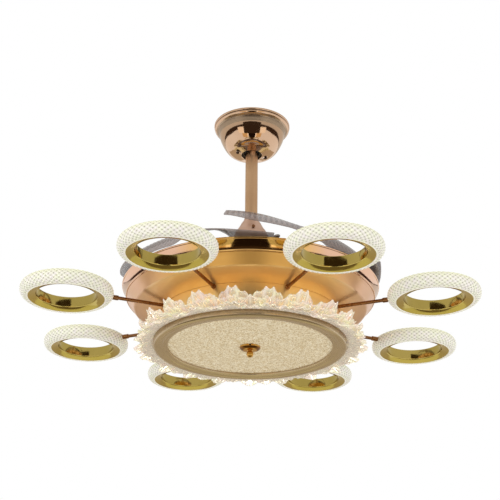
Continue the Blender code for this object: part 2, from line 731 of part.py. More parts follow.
def make_blade_hubs():
    """Each hub is a toothed sector with a boss on the stud and a pad that carries the blade's root.

    At rest the gap between its last two teeth faces the motor, where a tooth of the ring gear fills it.
    """
    tooth = math.tau / HUB_TEETH
    count = math.ceil(BLADE_OPENS / tooth + 0.5) + 2
    last = math.pi + tooth / 2
    first = last - (count - 1) * tooth
    teeth, root_r = gear_teeth(HUB_PITCH_R, first, count, HUB_TEETH)
    half = HUB_PAD_WIDTH / 2
    pad = [(-half * 0.7, -HUB_PAD_LENGTH), (half * 0.7, -HUB_PAD_LENGTH), (half, -half)]
    back = arc((0.0, 0.0), half, 0.0, first - 0.7 * tooth, 4)
    outline = teeth + pad + back
    low, high = height(GEAR_H), height(GEAR_TOP_H)
    hub = prism("blade_hub", [outline], low, high, STEEL)
    boss = [(0.0, height(HUB_BOSS_TOP_H)), (HUB_BOSS_R, height(HUB_BOSS_TOP_H))]
    boss += [(HUB_BOSS_R, low + 0.001), (0.0, low + 0.001)]
    join(hub, turned("hub_boss", boss, STEEL, SMALL_STEPS, closed=False))
    bore = (Vector((0, 0, low - 0.01)), Vector((0, 0, height(HUB_BOSS_TOP_H) + 0.01)))
    cut(hub, rod("hub_bore", STUD_R + GAP, *bore, None, sides=SMALL_STEPS))
    hub = as_mesh(hub)
    hub.data.transform(hub.matrix_world)
    hub.location.z = 0.0
    copies(hub, PIVOT_COUNT, PIVOT_TURN, PIVOT_AT)


def make_carrier():
    """The plate under the motor that turns with it, with one riveted stud for each blade."""
    loops = [circle(CARRIER_R, LARGE_STEPS), circle(MOTOR_HOLE_R, SMALL_STEPS)]
    for i in range(PIVOT_COUNT):
        at = polar(CARRIER_WINDOW_AT, PIVOT_TURN + math.tau * (i + 0.5) / PIVOT_COUNT)
        loops.append(circle(CARRIER_WINDOW_R, SMALL_STEPS, (at.x, at.y)))
    carrier = prism("blade_carrier", loops, height(CARRIER_H), height(CARRIER_TOP_H), STEEL)
    low = height(CARRIER_H) + 0.001
    neck = height(STUD_HEAD_H)
    top = neck + STUD_HEAD
    profile = [(0.0, top), (STUD_HEAD_R * 0.7, top), (STUD_HEAD_R, neck)]
    profile += [(STUD_R, neck), (STUD_R, low), (0.0, low)]
    for i in range(PIVOT_COUNT):
        stud = turned(f"pivot_stud_{i + 1}", profile, STEEL, TINY_STEPS, closed=False)
        stud.location = polar(PIVOT_AT, PIVOT_TURN + math.tau * i / PIVOT_COUNT)
        join(carrier, stud)


def ramp(value, low, high):
    """0 below low, 1 above high, and a smooth rise between them."""
    t = min(max((value - low) / (high - low), 0.0), 1.0)
    return t * t * (3 - 2 * t)


def blade_radii(along):
    """Inner and outer radius of a folded blade at an angle from its pivot."""
    degrees = math.degrees(along)
    outer_r = BLADE_ROOT_OUTER_R + BLADE_ROOT_STEP * ramp(degrees, -8, 26)
    root_r = BLADE_ROOT_OUTER_R - BLADE_ROOT_WIDTH
    wide = root_r + (BLADE_OUTER_R - BLADE_WIDTH - root_r) * ramp(degrees, 0, 22)
    inner_r = wide + (BLADE_OUTER_R - BLADE_TIP_WIDTH - wide) * ramp(degrees, 36, 76)
    return inner_r, outer_r


def blade_height(along, share):
    """Height of a folded blade at an angle from its pivot and at a share of its width, from the inner edge."""
    degrees = math.degrees(along)
    inner_r, outer_r = blade_radii(along)
    lift = BLADE_ROOT_LIFT + BLADE_BODY_LIFT * ramp(degrees, 5, 45) + BLADE_TIP_LIFT * ramp(degrees, 62, 118)
    pitch = BLADE_PITCH * ramp(degrees, 8, 24) + BLADE_TIP_PITCH * ramp(degrees, 60, 95)
    evenness = ramp(degrees, 6, 24)
    rise = lift * (evenness + (1.0 - evenness) * share * share)
    return BLADE_ROOT_H + rise + (outer_r - inner_r) * (1.0 - share) * math.tan(pitch)


def make_blades():
    """A folded blade is a thin crescent over the rim, flat on its hub and then tilted, inner edge up."""
    across = (0.0, 0.5, 1.0)
    bm = bmesh.new()
    rows = []
    for i in range(BLADE_SECTIONS):
        along = -BLADE_HEEL + (BLADE_SPAN + BLADE_HEEL) * i / (BLADE_SECTIONS - 1)
        inner_r, outer_r = blade_radii(along)
        row = []
        for share in across:
            point = polar(inner_r + (outer_r - inner_r) * share, -along, height(blade_height(along, share)))
            row.append(bm.verts.new((point.x - PIVOT_AT, point.y, point.z)))
        rows.append(row)
    for near, far in zip(rows, rows[1:]):
        for i in range(len(across) - 1):
            bm.faces.new((near[i], far[i], far[i + 1], near[i + 1]))
    bmesh.ops.recalc_face_normals(bm, faces=bm.faces)
    blade = add_object("blade", mesh_from(bm, "blade"), SMOKED_ACRYLIC, PARTS)
    solid = blade.modifiers.new("thickness", "SOLIDIFY")
    solid.thickness = BLADE_THICKNESS
    solid.offset = 0.0
    solid.use_even_offset = True
    low = Vector((0.0, 0.0, height(GEAR_TOP_H) - 0.01))
    high = Vector((0.0, 0.0, height(HUB_BOSS_TOP_H) + 0.01))
    cut(blade, rod("blade_hole", HUB_BOSS_R + GAP, low, high, None, sides=SMALL_STEPS))
    copies(as_mesh(blade), PIVOT_COUNT, PIVOT_TURN, PIVOT_AT)


def make_housing():
    plate_edge = RIM_R - SHEET - RIM_GUTTER
    top = [(RIM_R, RIM_TOP_H), (RIM_R - RIM_ROLL, RIM_TOP_H - RIM_ROLL_DEPTH), (RIM_BOTTOM_R, RIM_BOTTOM_H)]
    top += [(RIM_BOTTOM_R - SHEET, RIM_BOTTOM_H), (plate_edge - SHEET, TOP_PLATE_H)]
    top += [(MOTOR_HOLE_R, TOP_PLATE_H), (MOTOR_HOLE_R, PLATE_TOP_H)]
    top += [(plate_edge, PLATE_TOP_H), (RIM_R - SHEET, RIM_TOP_H)]
    turned("housing_top", lowered(top), GOLD, LARGE_STEPS)

    seam = RIM_BOTTOM_H - GAP
    inner_r = DRUM_R + 2 * GAP
    edge_r = RIM_BOTTOM_R - BOWL_INSET
    bowl = [(edge_r, seam), (TIER_BOTTOM_R, TIER_BOTTOM_H), (inner_r, BOWL_INNER_H)]
    bowl += [(inner_r, BOWL_INNER_H + SHEET), (TIER_BOTTOM_R - SHEET, TIER_BOTTOM_H + SHEET)]
    bowl += [(edge_r - SHEET, seam)]
    turned("housing_bowl", lowered(bowl), SATIN_GOLD, LARGE_STEPS)


def make_drum():
    """The light box: a pan on a neck that hangs from the shaft's flange."""
    roof = DRUM_TOP_H - SHEET
    side = DRUM_R - SHEET
    neck_in = NECK_R - SHEET
    under = NECK_TOP_H - NECK_FLANGE
    pan = [(NECK_FLANGE_R, NECK_TOP_H), (NECK_FLANGE_R, under), (NECK_R, under)]
    pan += [(NECK_R, DRUM_TOP_H), (DRUM_R, DRUM_TOP_H), (DRUM_R, DRUM_BOTTOM_H), (side, DRUM_BOTTOM_H)]
    pan += [(side, roof), (neck_in, roof), (neck_in, NECK_TOP_H)]
    drum = turned("lamp_drum", lowered(pan), SATIN_GOLD, LARGE_STEPS)
    for i in range(LAMPS):
        angle = LAMP_TURN + math.tau * i / LAMPS
        start = polar(DRUM_R - 0.010, angle, height(ARM_H))
        end = polar(DRUM_R + 0.010, angle, height(ARM_H))
        cut(drum, rod(f"drum_hole_{i + 1}", ARM_R + GAP, start, end, None))

    board_top = roof - GAP
    board_in = NECK_R + BOARD_CLEARANCE
    board = [(BOARD_R, board_top), (BOARD_R, board_top - BOARD_THICKNESS)]
    board += [(board_in, board_top - BOARD_THICKNESS), (board_in, board_top)]
    turned("led_board", lowered(board), WHITE_PLASTIC, MEDIUM_STEPS)


def make_diffuser_and_bezel():
    hole = STUD_ROD_R + GAP
    top = DIFFUSER_H + DIFFUSER_THICKNESS
    glass = [(DIFFUSER_R, top), (DIFFUSER_R, DIFFUSER_H), (hole, DIFFUSER_H), (hole, top)]
    turned("diffuser", lowered(glass), FROSTED_GLASS, LARGE_STEPS)

    lip_top = DIFFUSER_H - GAP
    seat = DIFFUSER_R + GAP
    bezel = [(BEZEL_R, BEZEL_TOP_H), (BEZEL_R, BEZEL_BOTTOM_H + BEZEL_BEVEL)]
    bezel += [(BEZEL_R - BEZEL_BEVEL, BEZEL_BOTTOM_H), (BEZEL_INNER_R + 2 * BEZEL_BEVEL, BEZEL_BOTTOM_H)]
    bezel += [(BEZEL_INNER_R, lip_top - BEZEL_LIP), (BEZEL_INNER_R, lip_top)]
    bezel += [(seat, lip_top), (seat, BEZEL_TOP_H)]
    turned("bezel", lowered(bezel), SATIN_NICKEL, LARGE_STEPS)


def make_finial():
    cap_top = DIFFUSER_H - GAP
    cap_low = cap_top - FINIAL_CAP
    ball_h = cap_low - FINIAL_BALL_DROP
    ball_top = math.acos(FINIAL_NECK_R / FINIAL_BALL_R)
    profile = [(0.0, STUD_ROD_TOP_H), (STUD_ROD_R, STUD_ROD_TOP_H), (STUD_ROD_R, cap_top)]
    profile += [(FINIAL_CAP_R, cap_top), (FINIAL_CAP_R * 0.95, cap_top - FINIAL_CAP * 0.4)]
    profile += [(FINIAL_CAP_R * 0.66, cap_low), (FINIAL_NECK_R * 1.8, cap_low - FINIAL_NECK_R * 0.3)]
    profile += [(FINIAL_NECK_R, cap_low - FINIAL_NECK_R)]
    profile += arc((0.0, ball_h), FINIAL_BALL_R, ball_top, -math.pi / 2, 7)
    profile[-1] = (0.0, profile[-1][1])
    turned("finial", lowered(profile), GOLD, SMALL_STEPS, closed=False)


def petal_mesh(name, width, length, lobes):
    """A cupped leaf with a lobed edge, from its base at the origin along +X, ridged front and back."""
    count = 2 * lobes
    bm = bmesh.new()
    edge = []
    for i in range(count):
        angle = math.tau * i / count
        notch = 1.0 if i % 2 == 0 else 0.80
        x = length * (0.5 - 0.5 * math.cos(angle) * notch)
        y = width / 2 * math.sin(angle) * notch * (1.0 + PETAL_FULLNESS * math.cos(angle))
        curl = PETAL_THICKNESS * 0.9 * (2 * y / width) ** 2
        edge.append(bm.verts.new((x, y, curl)))
    front = bm.verts.new((length * 0.45, 0.0, -PETAL_THICKNESS * 0.60))
    back = bm.verts.new((length * 0.45, 0.0, PETAL_THICKNESS * 0.40))
    for start, end in zip(edge, edge[1:] + edge[:1]):
        bm.faces.new((start, end, back))
        bm.faces.new((end, start, front))
    bmesh.ops.recalc_face_normals(bm, faces=bm.faces)
    return mesh_from(bm, name)


def petal_ring(name, tip_r, tip_h, width, lobes, phase):
    """All petals of one row in one mesh, each leaning from the flange to its tip."""
    base_h = SKIRT_H + SKIRT_FLANGE / 2
    rise = tip_h - base_h
    reach = tip_r - PETAL_BASE_R
    petal = petal_mesh("petal", width, math.hypot(reach, rise), lobes)
    bm = bmesh.new()
    for i in range(PETALS):
        angle = phase + math.tau * i / PETALS
        tilt = Matrix.Rotation(-math.atan2(rise, reach), 4, "Y")
        if rise > 0:
            tilt = tilt @ Matrix.Rotation(math.pi, 4, "X")
        copy = petal.copy()
        copy.transform(tilt)
        copy.transform(Matrix.Translation((PETAL_BASE_R, 0.0, height(base_h))))
        copy.transform(Matrix.Rotation(angle, 4, "Z"))
        bm.from_mesh(copy)
        bpy.data.meshes.remove(copy)
    bpy.data.meshes.remove(petal)
    return add_object(name, mesh_from(bm, name), None, PARTS)


def make_skirt():
    """Upper petals lean up and out, and lower petals between them lean down and out, all on one flange."""
    low = SKIRT_H
    high = SKIRT_H + SKIRT_FLANGE
    inner_r = DRUM_R + 2 * GAP
    flange = [(SKIRT_FLANGE_R, high), (SKIRT_FLANGE_R, low), (inner_r, low), (inner_r, high)]
    skirt = turned("crystal_skirt", lowered(flange), CRYSTAL, LARGE_STEPS)
    spacing = math.tau / PETALS
    lower_phase = -math.pi / 2
    row = (UPPER_TIP_R, UPPER_TIP_H, UPPER_PETAL_WIDTH, 5, lower_phase + spacing / 2)
    join(skirt, petal_ring("upper_petals", *row))
    row = (LOWER_TIP_R, LOWER_TIP_H, LOWER_PETAL_WIDTH, 4, lower_phase)
    join(skirt, petal_ring("lower_petals", *row))


def flange_top(radius):
    """Height of the upper face of a lamp's cone flange."""
    inner_r = BAND_R - BAND_WALL
    slope = (FLANGE_H - FLANGE_INNER_H) / (FLANGE_R - inner_r)
    return FLANGE_INNER_H + FLANGE_THICKNESS + slope * (radius - inner_r)


def make_bands():
    """The gold ring of a lamp: a short tube that opens into a cone flange below, and a sleeve for the arm."""
    inner_r = BAND_R - BAND_WALL
    profile = [(BAND_R, BAND_TOP_H), (BAND_R, flange_top(BAND_R)), (FLANGE_R, flange_top(FLANGE_R))]
    profile += [(FLANGE_R, FLANGE_H), (inner_r, FLANGE_INNER_H), (inner_r, BAND_TOP_H)]
    band = turned("lamp_band", profile, GOLD, RING_STEPS)
    sleeve_end = CRYSTAL_R + SLEEVE_OVERHANG
    start = Vector((-(BAND_R - BAND_WALL / 2), 0.0, ARM_H))
    end = Vector((-sleeve_end, 0.0, ARM_H))
    join(band, rod("band_sleeve", SLEEVE_R, start, end, GOLD))
    bore_start = Vector((-(CRYSTAL_R + GAP), 0.0, ARM_H))
    bore_end = end - Vector((OVERSHOOT, 0.0, 0.0))
    cut(band, rod("sleeve_bore", ARM_R + GAP, bore_start, bore_end, None))
    band = as_mesh(band)
    band.location.z = -DROP
    copies(band, LAMPS, LAMP_TURN, LAMP_CIRCLE_R)


def make_crystals():
    """The faceted crystal ring on a lamp's flange. The outer rows of corners are half a step off the others."""
    inner_r = BAND_R + 2 * GAP
    lip_r = FLANGE_R + 2 * GAP
    half = CRYSTAL_HALF_HEIGHT
    rows = [
        (inner_r, half - 0.0030, 0.0),
        (inner_r, flange_top(inner_r) + GAP, 0.0),
        (lip_r, flange_top(FLANGE_R) + GAP, 0.0),
        (lip_r, FLANGE_H - CRYSTAL_LIP, 0.0),
        (CRYSTAL_R - CRYSTAL_BEVEL, -half, 0.5),
        (CRYSTAL_R, 0.0, 0.0),
        (CRYSTAL_R - CRYSTAL_BEVEL, half, 0.5),
    ]
    bm = bmesh.new()
    step = math.tau / RING_STEPS
    grid = []
    for radius, h, offset in rows:
        grid.append([bm.verts.new(polar(radius, step * (i + offset), h)) for i in range(RING_STEPS)])
    for j, row in enumerate(grid):
        after = grid[(j + 1) % len(grid)]
        shift = 1 if rows[(j + 1) % len(rows)][2] < rows[j][2] else 0
        for i in range(RING_STEPS):
            k = (i + 1) % RING_STEPS
            c = after[(i + shift) % RING_STEPS]
            d = after[(k + shift) % RING_STEPS]
            bm.faces.new((row[i], row[k], c))
            bm.faces.new((row[k], d, c))
    bmesh.ops.recalc_face_normals(bm, faces=bm.faces)
    crystal = add_object("lamp_crystal", mesh_from(bm, "lamp_crystal"), CRYSTAL, PARTS)
    start = Vector((-(BAND_R - 0.004), 0.0, ARM_H))
    end = Vector((-(CRYSTAL_R + 0.004), 0.0, ARM_H))
    cut(crystal, rod("crystal_hole", SLEEVE_R + GAP, start, end, None))
    crystal = as_mesh(crystal)
    crystal.location.z = -DROP
    copies(crystal, LAMPS, LAMP_TURN, LAMP_CIRCLE_R)


def make_arms():
    start_r = DRUM_R - ARM_TUCK
    end_r = LAMP_CIRCLE_R - CRYSTAL_R - 2 * GAP
    arm = rod("lamp_arm", ARM_R, (start_r, 0.0, 0.0), (end_r, 0.0, 0.0), GOLD)
    arm.location.z = height(ARM_H)
    copies(arm, LAMPS, LAMP_TURN, 0.0)


def shade_smooth():
    for obj in PARTS.objects:
        if obj.type == "MESH" and "crystal" not in obj.name:
            obj.data.shade_smooth()
            obj.data.set_sharp_from_angle(angle=math.radians(35))


clear_scene()
PARTS = new_collection("chandelier_ceiling_fan")
CUTTERS = new_collection("cutters")

ROSE_GOLD = new_material("rose gold", (0.62, 0.42, 0.28), 0.18, 1.0)
GOLD = new_material("polished gold", (0.72, 0.44, 0.14), 0.14, 1.0)
SATIN_GOLD = new_material("satin gold", (0.66, 0.48, 0.26), 0.38, 1.0)
SATIN_NICKEL = new_material("satin champagne", (0.52, 0.44, 0.34), 0.35, 0.9)
STEEL = new_material("zinc plated steel", (0.55, 0.55, 0.56), 0.35, 1.0)
DARK_STEEL = new_material("dark screw steel", (0.12, 0.09, 0.07), 0.35, 1.0)
BRASS = new_material("brass", (0.60, 0.45, 0.20), 0.35, 1.0)
COPPER = new_material("copper windings", (0.55, 0.25, 0.12), 0.4, 1.0)
BLACK_PLASTIC = new_material("black plastic", (0.03, 0.03, 0.03), 0.5, 0.0)
WHITE_PLASTIC = new_material("white plastic", (0.85, 0.85, 0.82), 0.45, 0.0)
SMOKED_ACRYLIC = new_material("smoked acrylic", (0.42, 0.39, 0.39), 0.15, 0.0, 0.6)
CRYSTAL = new_material("crystal acrylic", (0.92, 0.91, 0.84), 0.05, 0.0, 0.7)
FROSTED_GLASS = new_material("pebbled glass", (0.84, 0.76, 0.60), 0.35, 0.0)

make_ceiling_bracket()
make_canopy()
make_canopy_screws()
make_receiver()
make_ball_and_rod()
make_yoke_and_cover()
make_motor()
make_stator()
make_carrier()
make_sync_gear()
make_blade_hubs()
make_blades()
make_housing()
make_drum()
make_diffuser_and_bezel()
make_finial()
make_skirt()
make_arms()
make_bands()
make_crystals()
shade_smooth()
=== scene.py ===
import json
import math

import bmesh
import bpy
from mathutils import Matrix, Vector

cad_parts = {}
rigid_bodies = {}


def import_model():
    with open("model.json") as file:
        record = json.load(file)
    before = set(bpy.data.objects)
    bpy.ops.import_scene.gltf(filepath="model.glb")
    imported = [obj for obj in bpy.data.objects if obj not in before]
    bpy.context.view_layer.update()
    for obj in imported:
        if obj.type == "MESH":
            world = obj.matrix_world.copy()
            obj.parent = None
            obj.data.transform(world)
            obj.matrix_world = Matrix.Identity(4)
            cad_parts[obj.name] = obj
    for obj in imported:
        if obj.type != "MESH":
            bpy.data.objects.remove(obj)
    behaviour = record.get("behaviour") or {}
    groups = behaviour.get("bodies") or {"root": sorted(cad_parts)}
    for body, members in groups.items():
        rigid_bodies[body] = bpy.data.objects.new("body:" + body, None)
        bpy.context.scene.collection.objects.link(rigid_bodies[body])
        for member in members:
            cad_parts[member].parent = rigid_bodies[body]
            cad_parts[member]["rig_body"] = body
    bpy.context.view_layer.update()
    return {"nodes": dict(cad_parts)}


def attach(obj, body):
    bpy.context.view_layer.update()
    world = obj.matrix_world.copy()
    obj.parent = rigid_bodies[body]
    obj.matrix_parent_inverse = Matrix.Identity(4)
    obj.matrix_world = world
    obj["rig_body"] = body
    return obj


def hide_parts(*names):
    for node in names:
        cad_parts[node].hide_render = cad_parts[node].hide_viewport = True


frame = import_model()
for thing in list(bpy.data.objects):
    if "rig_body" not in thing and not thing.name.startswith("body:"):
        bpy.data.objects.remove(thing)

# Lengths are in metres. Heights ending in _H are measured up from the plane of the lamps, which is DROP below
# the ceiling, and those ending in _Z from the ceiling. A table of steps says how far each point of a profile
# lies inside a radius and above a height.
DROP = 0.430
LATHE_STEPS = 160
WIDE_STEPS = 256
CONE_STEPS = 96
FINE_STEPS = 64
WELD = 0.0000005
ROUNDING_SHARE = 0.45

CANOPY_R = 0.0778
CANOPY_DEPTH = 0.069
CANOPY_WALL = 0.0012
CANOPY_HOLE_R = 0.021
CANOPY_WAIST_R = 0.0672
CANOPY_BEAD_STEPS = (
    (0.0006, -0.0008), (0.0, -0.0016), (0.0, -0.0040), (0.0010, -0.0052), (0.0022, -0.0057),
    (0.0014, -0.0066), (0.0012, -0.0088), (0.0024, -0.0108), (0.0050, -0.0122), (0.0078, -0.0136),
    (0.0090, -0.0160),
)
CANOPY_BOWL_STEPS = (
    (-0.0009, -0.0190), (0.0, -0.0220), (0.0008, -0.0252), (0.0018, -0.0285), (0.0028, -0.0318),
    (0.0041, -0.0350), (0.0054, -0.0382), (0.0069, -0.0415), (0.0085, -0.0448), (0.0102, -0.0480),
    (0.0121, -0.0513), (0.0142, -0.0545), (0.0165, -0.0574), (0.0190, -0.0600), (0.0218, -0.0623),
    (0.0250, -0.0642), (0.0285, -0.0655), (0.0310, -0.0660),
)
CANOPY_INSIDE = [
    (0.0420, -0.06334), (0.0510, -0.0540), (0.0558, -0.0440), (0.0606, -0.0350),
    (0.0660, -0.0215), (0.0678, -0.0125), (0.0746, -0.0095), (0.0746, -0.0008),
]
CANOPY_BRUSHED_Z = (-0.0250, -0.0118)
CANOPY_GROOVE_SHADE_Z = (-0.0066, -0.0050)
CANOPY_SCREW_AT = 0.0305
SCREW_HOLE_R = 0.0024
KEYHOLE_R = 0.0030
KEYHOLE_STEP = 0.0055
KEYHOLE_Z = (-0.078, -0.058)
KEYHOLE_SIDES = 32
BRACKET_TURN = math.radians(20)

ROD_R = 0.0125
ROD_WALL = 0.0020
ROD_TOP_Z = -0.0285
ROD_BOTTOM_H = 0.1603
COVER_TOP_H = 0.2160
COVER_BOTTOM_H = 0.1400
COVER_BOTTOM_R = 0.0410
COVER_WALL = 0.0014
COVER_GAP = 0.0003
COVER_LIP = 0.0030
COVER_CURVE = [
    (0.0160, 0.2090), (0.0190, 0.2050), (0.0240, 0.1950),
    (0.0300, 0.1860), (0.0365, 0.1700), (0.0395, 0.1560),
]

RIM_R = 0.2485
RIM_TOP_H = 0.0610
RIM_BOTTOM_R = 0.2385
RIM_BOTTOM_H = 0.0375
RIM_TOP_STEPS = ((0.0004, 0.0), (0.0, -0.0008), (0.0010, -0.0026), (0.0022, -0.0034))
RIM_FOOT_STEPS = ((-0.0014, 0.0026), (-0.0020, 0.0014), (-0.0006, 0.0))
RIM_SIDE_REFLECTION_X = (0.095, 0.135)
PLATE_H = 0.0460
PLATE_TOP_H = 0.0480
PLATE_INSET = 0.0055
SHEET = 0.0015
SHAFT_HOLE_R = 0.0120
TIER_BOTTOM_R = 0.2230
TIER_BOTTOM_H = 0.0180
TIER_STEPS = ((-0.0006, 0.0008), (-0.0002, 0.0), (0.0010, -0.0004), (0.0024, -0.0012))
BOWL_SEAM_INSET = 0.0006
BOWL_SEAM_DROP = 0.0003
BOWL_SEAM_STEPS = ((0.0, 0.0), (0.0008, -0.0010))
BOWL_MIDDLE = (0.2000, 0.0118)
BOWL_INNER_R = 0.1726
BOWL_INNER_H = 0.0060
BOWL_CREASE_Z = (-0.4122, -0.4114)
BOWL_SIDE_REFLECTION_X = (0.13, 0.21)

DIFFUSER_R = 0.1585
DIFFUSER_H = -0.0545
DIFFUSER_THICKNESS = 0.0030
DIFFUSER_SEAT = 0.0003
PEBBLE_LIFT = 0.0006
PEBBLE_STEPS = 601
PEBBLE_RINGS = 140
BEZEL_R = 0.1840
BEZEL_INNER_R = 0.1560
BEZEL_TOP_H = -0.0483
BEZEL_BOTTOM_H = -0.0612
BEZEL_STEPS = (
    (0.0, 0.0050), (0.0006, 0.0026), (0.0026, 0.0010), (0.0060, 0.0001),
    (0.0100, 0.0), (0.0140, 0.0003), (0.0170, 0.0010), (0.0180, 0.0016),
)
BEZEL_INNER_STEPS = ((-0.0050, 0.0021), (-0.0008, 0.0029))
FINIAL_STEM_R = 0.0045
FINIAL_STEM_TOP_H = 0.0550
FINIAL_CAP_R = 0.0200
FINIAL_CAP = 0.0036
FINIAL_CAP_STEPS = ((0.0006, 0.0), (0.0, -0.0005), (0.0002, -0.0011))
FINIAL_DOME_R = 0.014112
FINIAL_DOME_MIDDLE = 0.0055
FINIAL_DOME_FULLNESS = 0.8
FINIAL_DOME = 0.0062
FINIAL_DOME_DROP = 0.0012
FINIAL_DOME_POINTS = 8
FINIAL_BALL_POINTS = 14
FINIAL_COLLAR = ((0.0052, 0.0078), (0.0046, 0.0084))
FINIAL_NECK_R = 0.0036
FINIAL_BALL_R = 0.0067
FINIAL_BALL_DROP = 0.0107
FINIAL_NECK_SHADE_Z = (-0.4916, -0.4872)

SKIRT_H = -0.0480
SKIRT_FLANGE_R = 0.1950
SKIRT_FLANGE = 0.0035
SKIRT_GAP = 0.0006
PETALS = 20
PETAL_BASE_R = 0.1850
PETAL_THICKNESS = 0.0020
LEAF_STEPS = 7
LEAF_FOLD_STEPS = 8
# A leaf is one petal cluster. These are shares of its length, width, ridge, cup and thickness.
LEAF_ROUNDING = 0.46
LEAF_NOTCH = 0.12
LEAF_TOOTH_NOTCH = 0.05
LEAF_TOOTH_RIDGE = 0.3
LEAF_ROOT_WIDTH = 0.32
LEAF_SHOULDER = 0.76
LEAF_SIDE_CUP = 0.55
LEAF_TIP_THINNING = 0.62
LEAF_SIDE_THINNING = 0.5
FRILL_START_R = 0.1870
FRILL_LENGTH = 0.0260
FRILL_H = -0.0500
FRILL_DROP = 0.0050
FRILL_WAVE = 0.0018
FRILL_THICKNESS = 0.0012
FRILL_AROUND = 480
FRILL_RINGS = 8

LAMPS = 8
LAMP_TURN = math.radians(22.5)
LAMP_CIRCLE_R = 0.360
BAND_R = 0.0560
BAND_WALL = 0.0015
BAND_TOP_H = 0.0105
BAND_STEPS = 128
BAND_LIP_STEPS = ((0.0, -0.0004), (-0.0004, 0.0))
FLANGE_R = 0.0690
FLANGE_H = -0.0140
FLANGE_INNER_H = -0.0092
FLANGE_THICKNESS = 0.0020
FLANGE_TOP_STEPS = ((0.0004, 0.0002), (0.0, -0.0006))
FLANGE_FOOT_STEPS = ((0.0, 0.0004), (0.0005, 0.0))
FLANGE_INNER_STEPS = ((-0.0010, -0.0006), (-0.0004, 0.0002), (0.0, 0.0010))
CRYSTAL_REFRACTION_TINT_Z = (-0.4310, -0.4190)
CRYSTAL_FULLNESS = 0.92
ARM_R = 0.0033
ARM_H = 0.0022
ARM_SIDES = 28
ARM_IN_DRUM = 0.006
ARM_IN_SLEEVE = 0.008
COLLAR_RISE = 0.0013
COLLAR_GAP = 0.0002
COLLAR_END = 0.0052
SLEEVE_R = 0.0046
SLEEVE_END = 0.0970
SLEEVE_IN_BAND = 0.0006
SLEEVE_SIDES = 32
SLEEVE_ROUND = 0.0010
DRUM_R = 0.1720
DRUM_TOP_H = 0.0090
DRUM_BOTTOM_H = -0.0480
NECK_R = 0.0200
NECK_FLANGE_R = 0.0260
NECK_FLANGE = 0.002
NECK_TOP_H = 0.0414

# A pair of degrees is the stretch of a blade, counted from its pivot, over which a form comes or goes.
PIVOT_COUNT = 4
PIVOT_TURN = math.radians(5)
BLADE_ROOT_H = 0.0711
BLADE_THICKNESS = 0.0020
BLADE_SPAN = math.radians(106)
BLADE_HEEL = math.radians(5)
BLADE_OUTER_R = 0.2530
BLADE_ROOT_STEP = 0.0170
BLADE_ROOT_WIDTH = 0.0580
BLADE_WIDTH = 0.0890
BLADE_TIP_WIDTH = 0.0200
BLADE_ROOT_LIFT = 0.0035
BLADE_BODY_LIFT = 0.0080
BLADE_TIP_LIFT = 0.0230
BLADE_PITCH = math.radians(24.5)
BLADE_TIP_PITCH = math.radians(16)
BLADE_SECTIONS = 300
BLADE_ACROSS = 9
BLADE_DROOP = 0.0225
DROOP_START = 0.55
DROOP_TIP_SHARE = 0.70
ROOT_REACHES = (-8, 26)
ROOT_WIDENS = (0, 22)
ROOT_LEVELS = (6, 24)
BODY_RISES = (5, 45)
BODY_TILTS = (8, 24)
TIP_NARROWS = (36, 76)
TIP_TILTS = (60, 95)
TIP_RISES = (62, 118)
DROOP_COMES = (26, 40)
DROOP_WANES = (58, 80)
DROOP_ENDS = (92, 106)
RIBS_COME = (12, 20)
RIB_PITCH = math.radians(2.2)
RIB_DEPTH = 0.0004
RIB_MARGIN = 0.12

# The first four are how deep the grain of a finish is.
FINE_GRAIN = 0.00001
SATIN_GRAIN = 0.00002
COARSE_GRAIN = 0.00003
WIRE_GRAIN = 0.0001
GRAIN_WANDER = 0.35
TURN_STRETCH = 0.01
NOISE_ROUGHNESS = 0.55
MARK_EDGE = 0.0004

WHITE = (1.0, 1.0, 1.0, 1.0)
FLOOR_Z = -2.45
FLOOR_SIZE = 12.0
FLOOR_COLOUR = (0.80, 0.79, 0.77, 1.0)
FLOOR_ROUGHNESS = 0.6
SOFT_LIGHT = (0.96, 0.97, 1.0, 1.0)
SOFT_LIGHT_STRENGTH = 0.75
CAMERA_AT = (0.0, -2.053, -1.222)
CAMERA_PITCH = math.radians(24.6)
CAMERA_ROLL = math.radians(0.5)
CAMERA_LENS = 82.37
CAMERA_SENSOR = 36.0
CAMERA_SHIFT = -0.0018
CAMERA_NEAR = 0.05

# Cards that only mirrors see: name, two opposite corners, colour and strength. A side card is made on both
# sides. The front and side ones draw the dark and bright fields on canopy and rim, and the far ones the tones
# inside the gold rings.
CARD_Y = -0.8
CARD_Z = FLOOR_Z + 0.02
WARM = (1.0, 0.94, 0.82)
FRONT_CARDS = (
    ("dark_flag_high", (-0.46, CARD_Y, -0.47), (0.46, CARD_Y, -0.04), (0.045, 0.028, 0.018), 1.0),
    ("dark_flag_low", (-0.205, CARD_Y, -0.85), (0.205, CARD_Y, -0.47), (0.014, 0.008, 0.006), 1.0),
)
SIDE_CARDS = (
    ("bright_low", (0.205, CARD_Y, -0.85), (0.265, CARD_Y, -0.47), WARM, 1.5),
    ("amber_low", (0.265, CARD_Y, -0.85), (0.64, CARD_Y, -0.47), (0.84, 0.60, 0.30), 1.0),
    ("bright_high", (0.46, CARD_Y, -0.47), (0.98, CARD_Y, -0.235), WARM, 1.25),
)
FAR_CARDS = (
    ("floor_shade_front", (-0.50, -2.4, CARD_Z), (0.50, -1.2, CARD_Z), (0.07, 0.04, 0.012), 1.0),
    ("floor_shade_under", (-2.6, -0.8, CARD_Z), (2.6, 1.25, CARD_Z), (0.22, 0.17, 0.10), 1.0),
    ("floor_gold_back", (-1.5, 1.25, CARD_Z), (1.5, 2.8, CARD_Z), (0.86, 0.84, 0.56), 1.0),
    ("taupe_back", (-1.8, 2.8, CARD_Z), (1.8, 2.8, -0.56), (0.56, 0.48, 0.36), 1.0),
)
WALL_SIDES = 96
WALL_R = 2.9
WALL_TOP_Z = 3.2
WALL_COLOUR = (0.68, 0.66, 0.61)
FOOT_R = 2.88
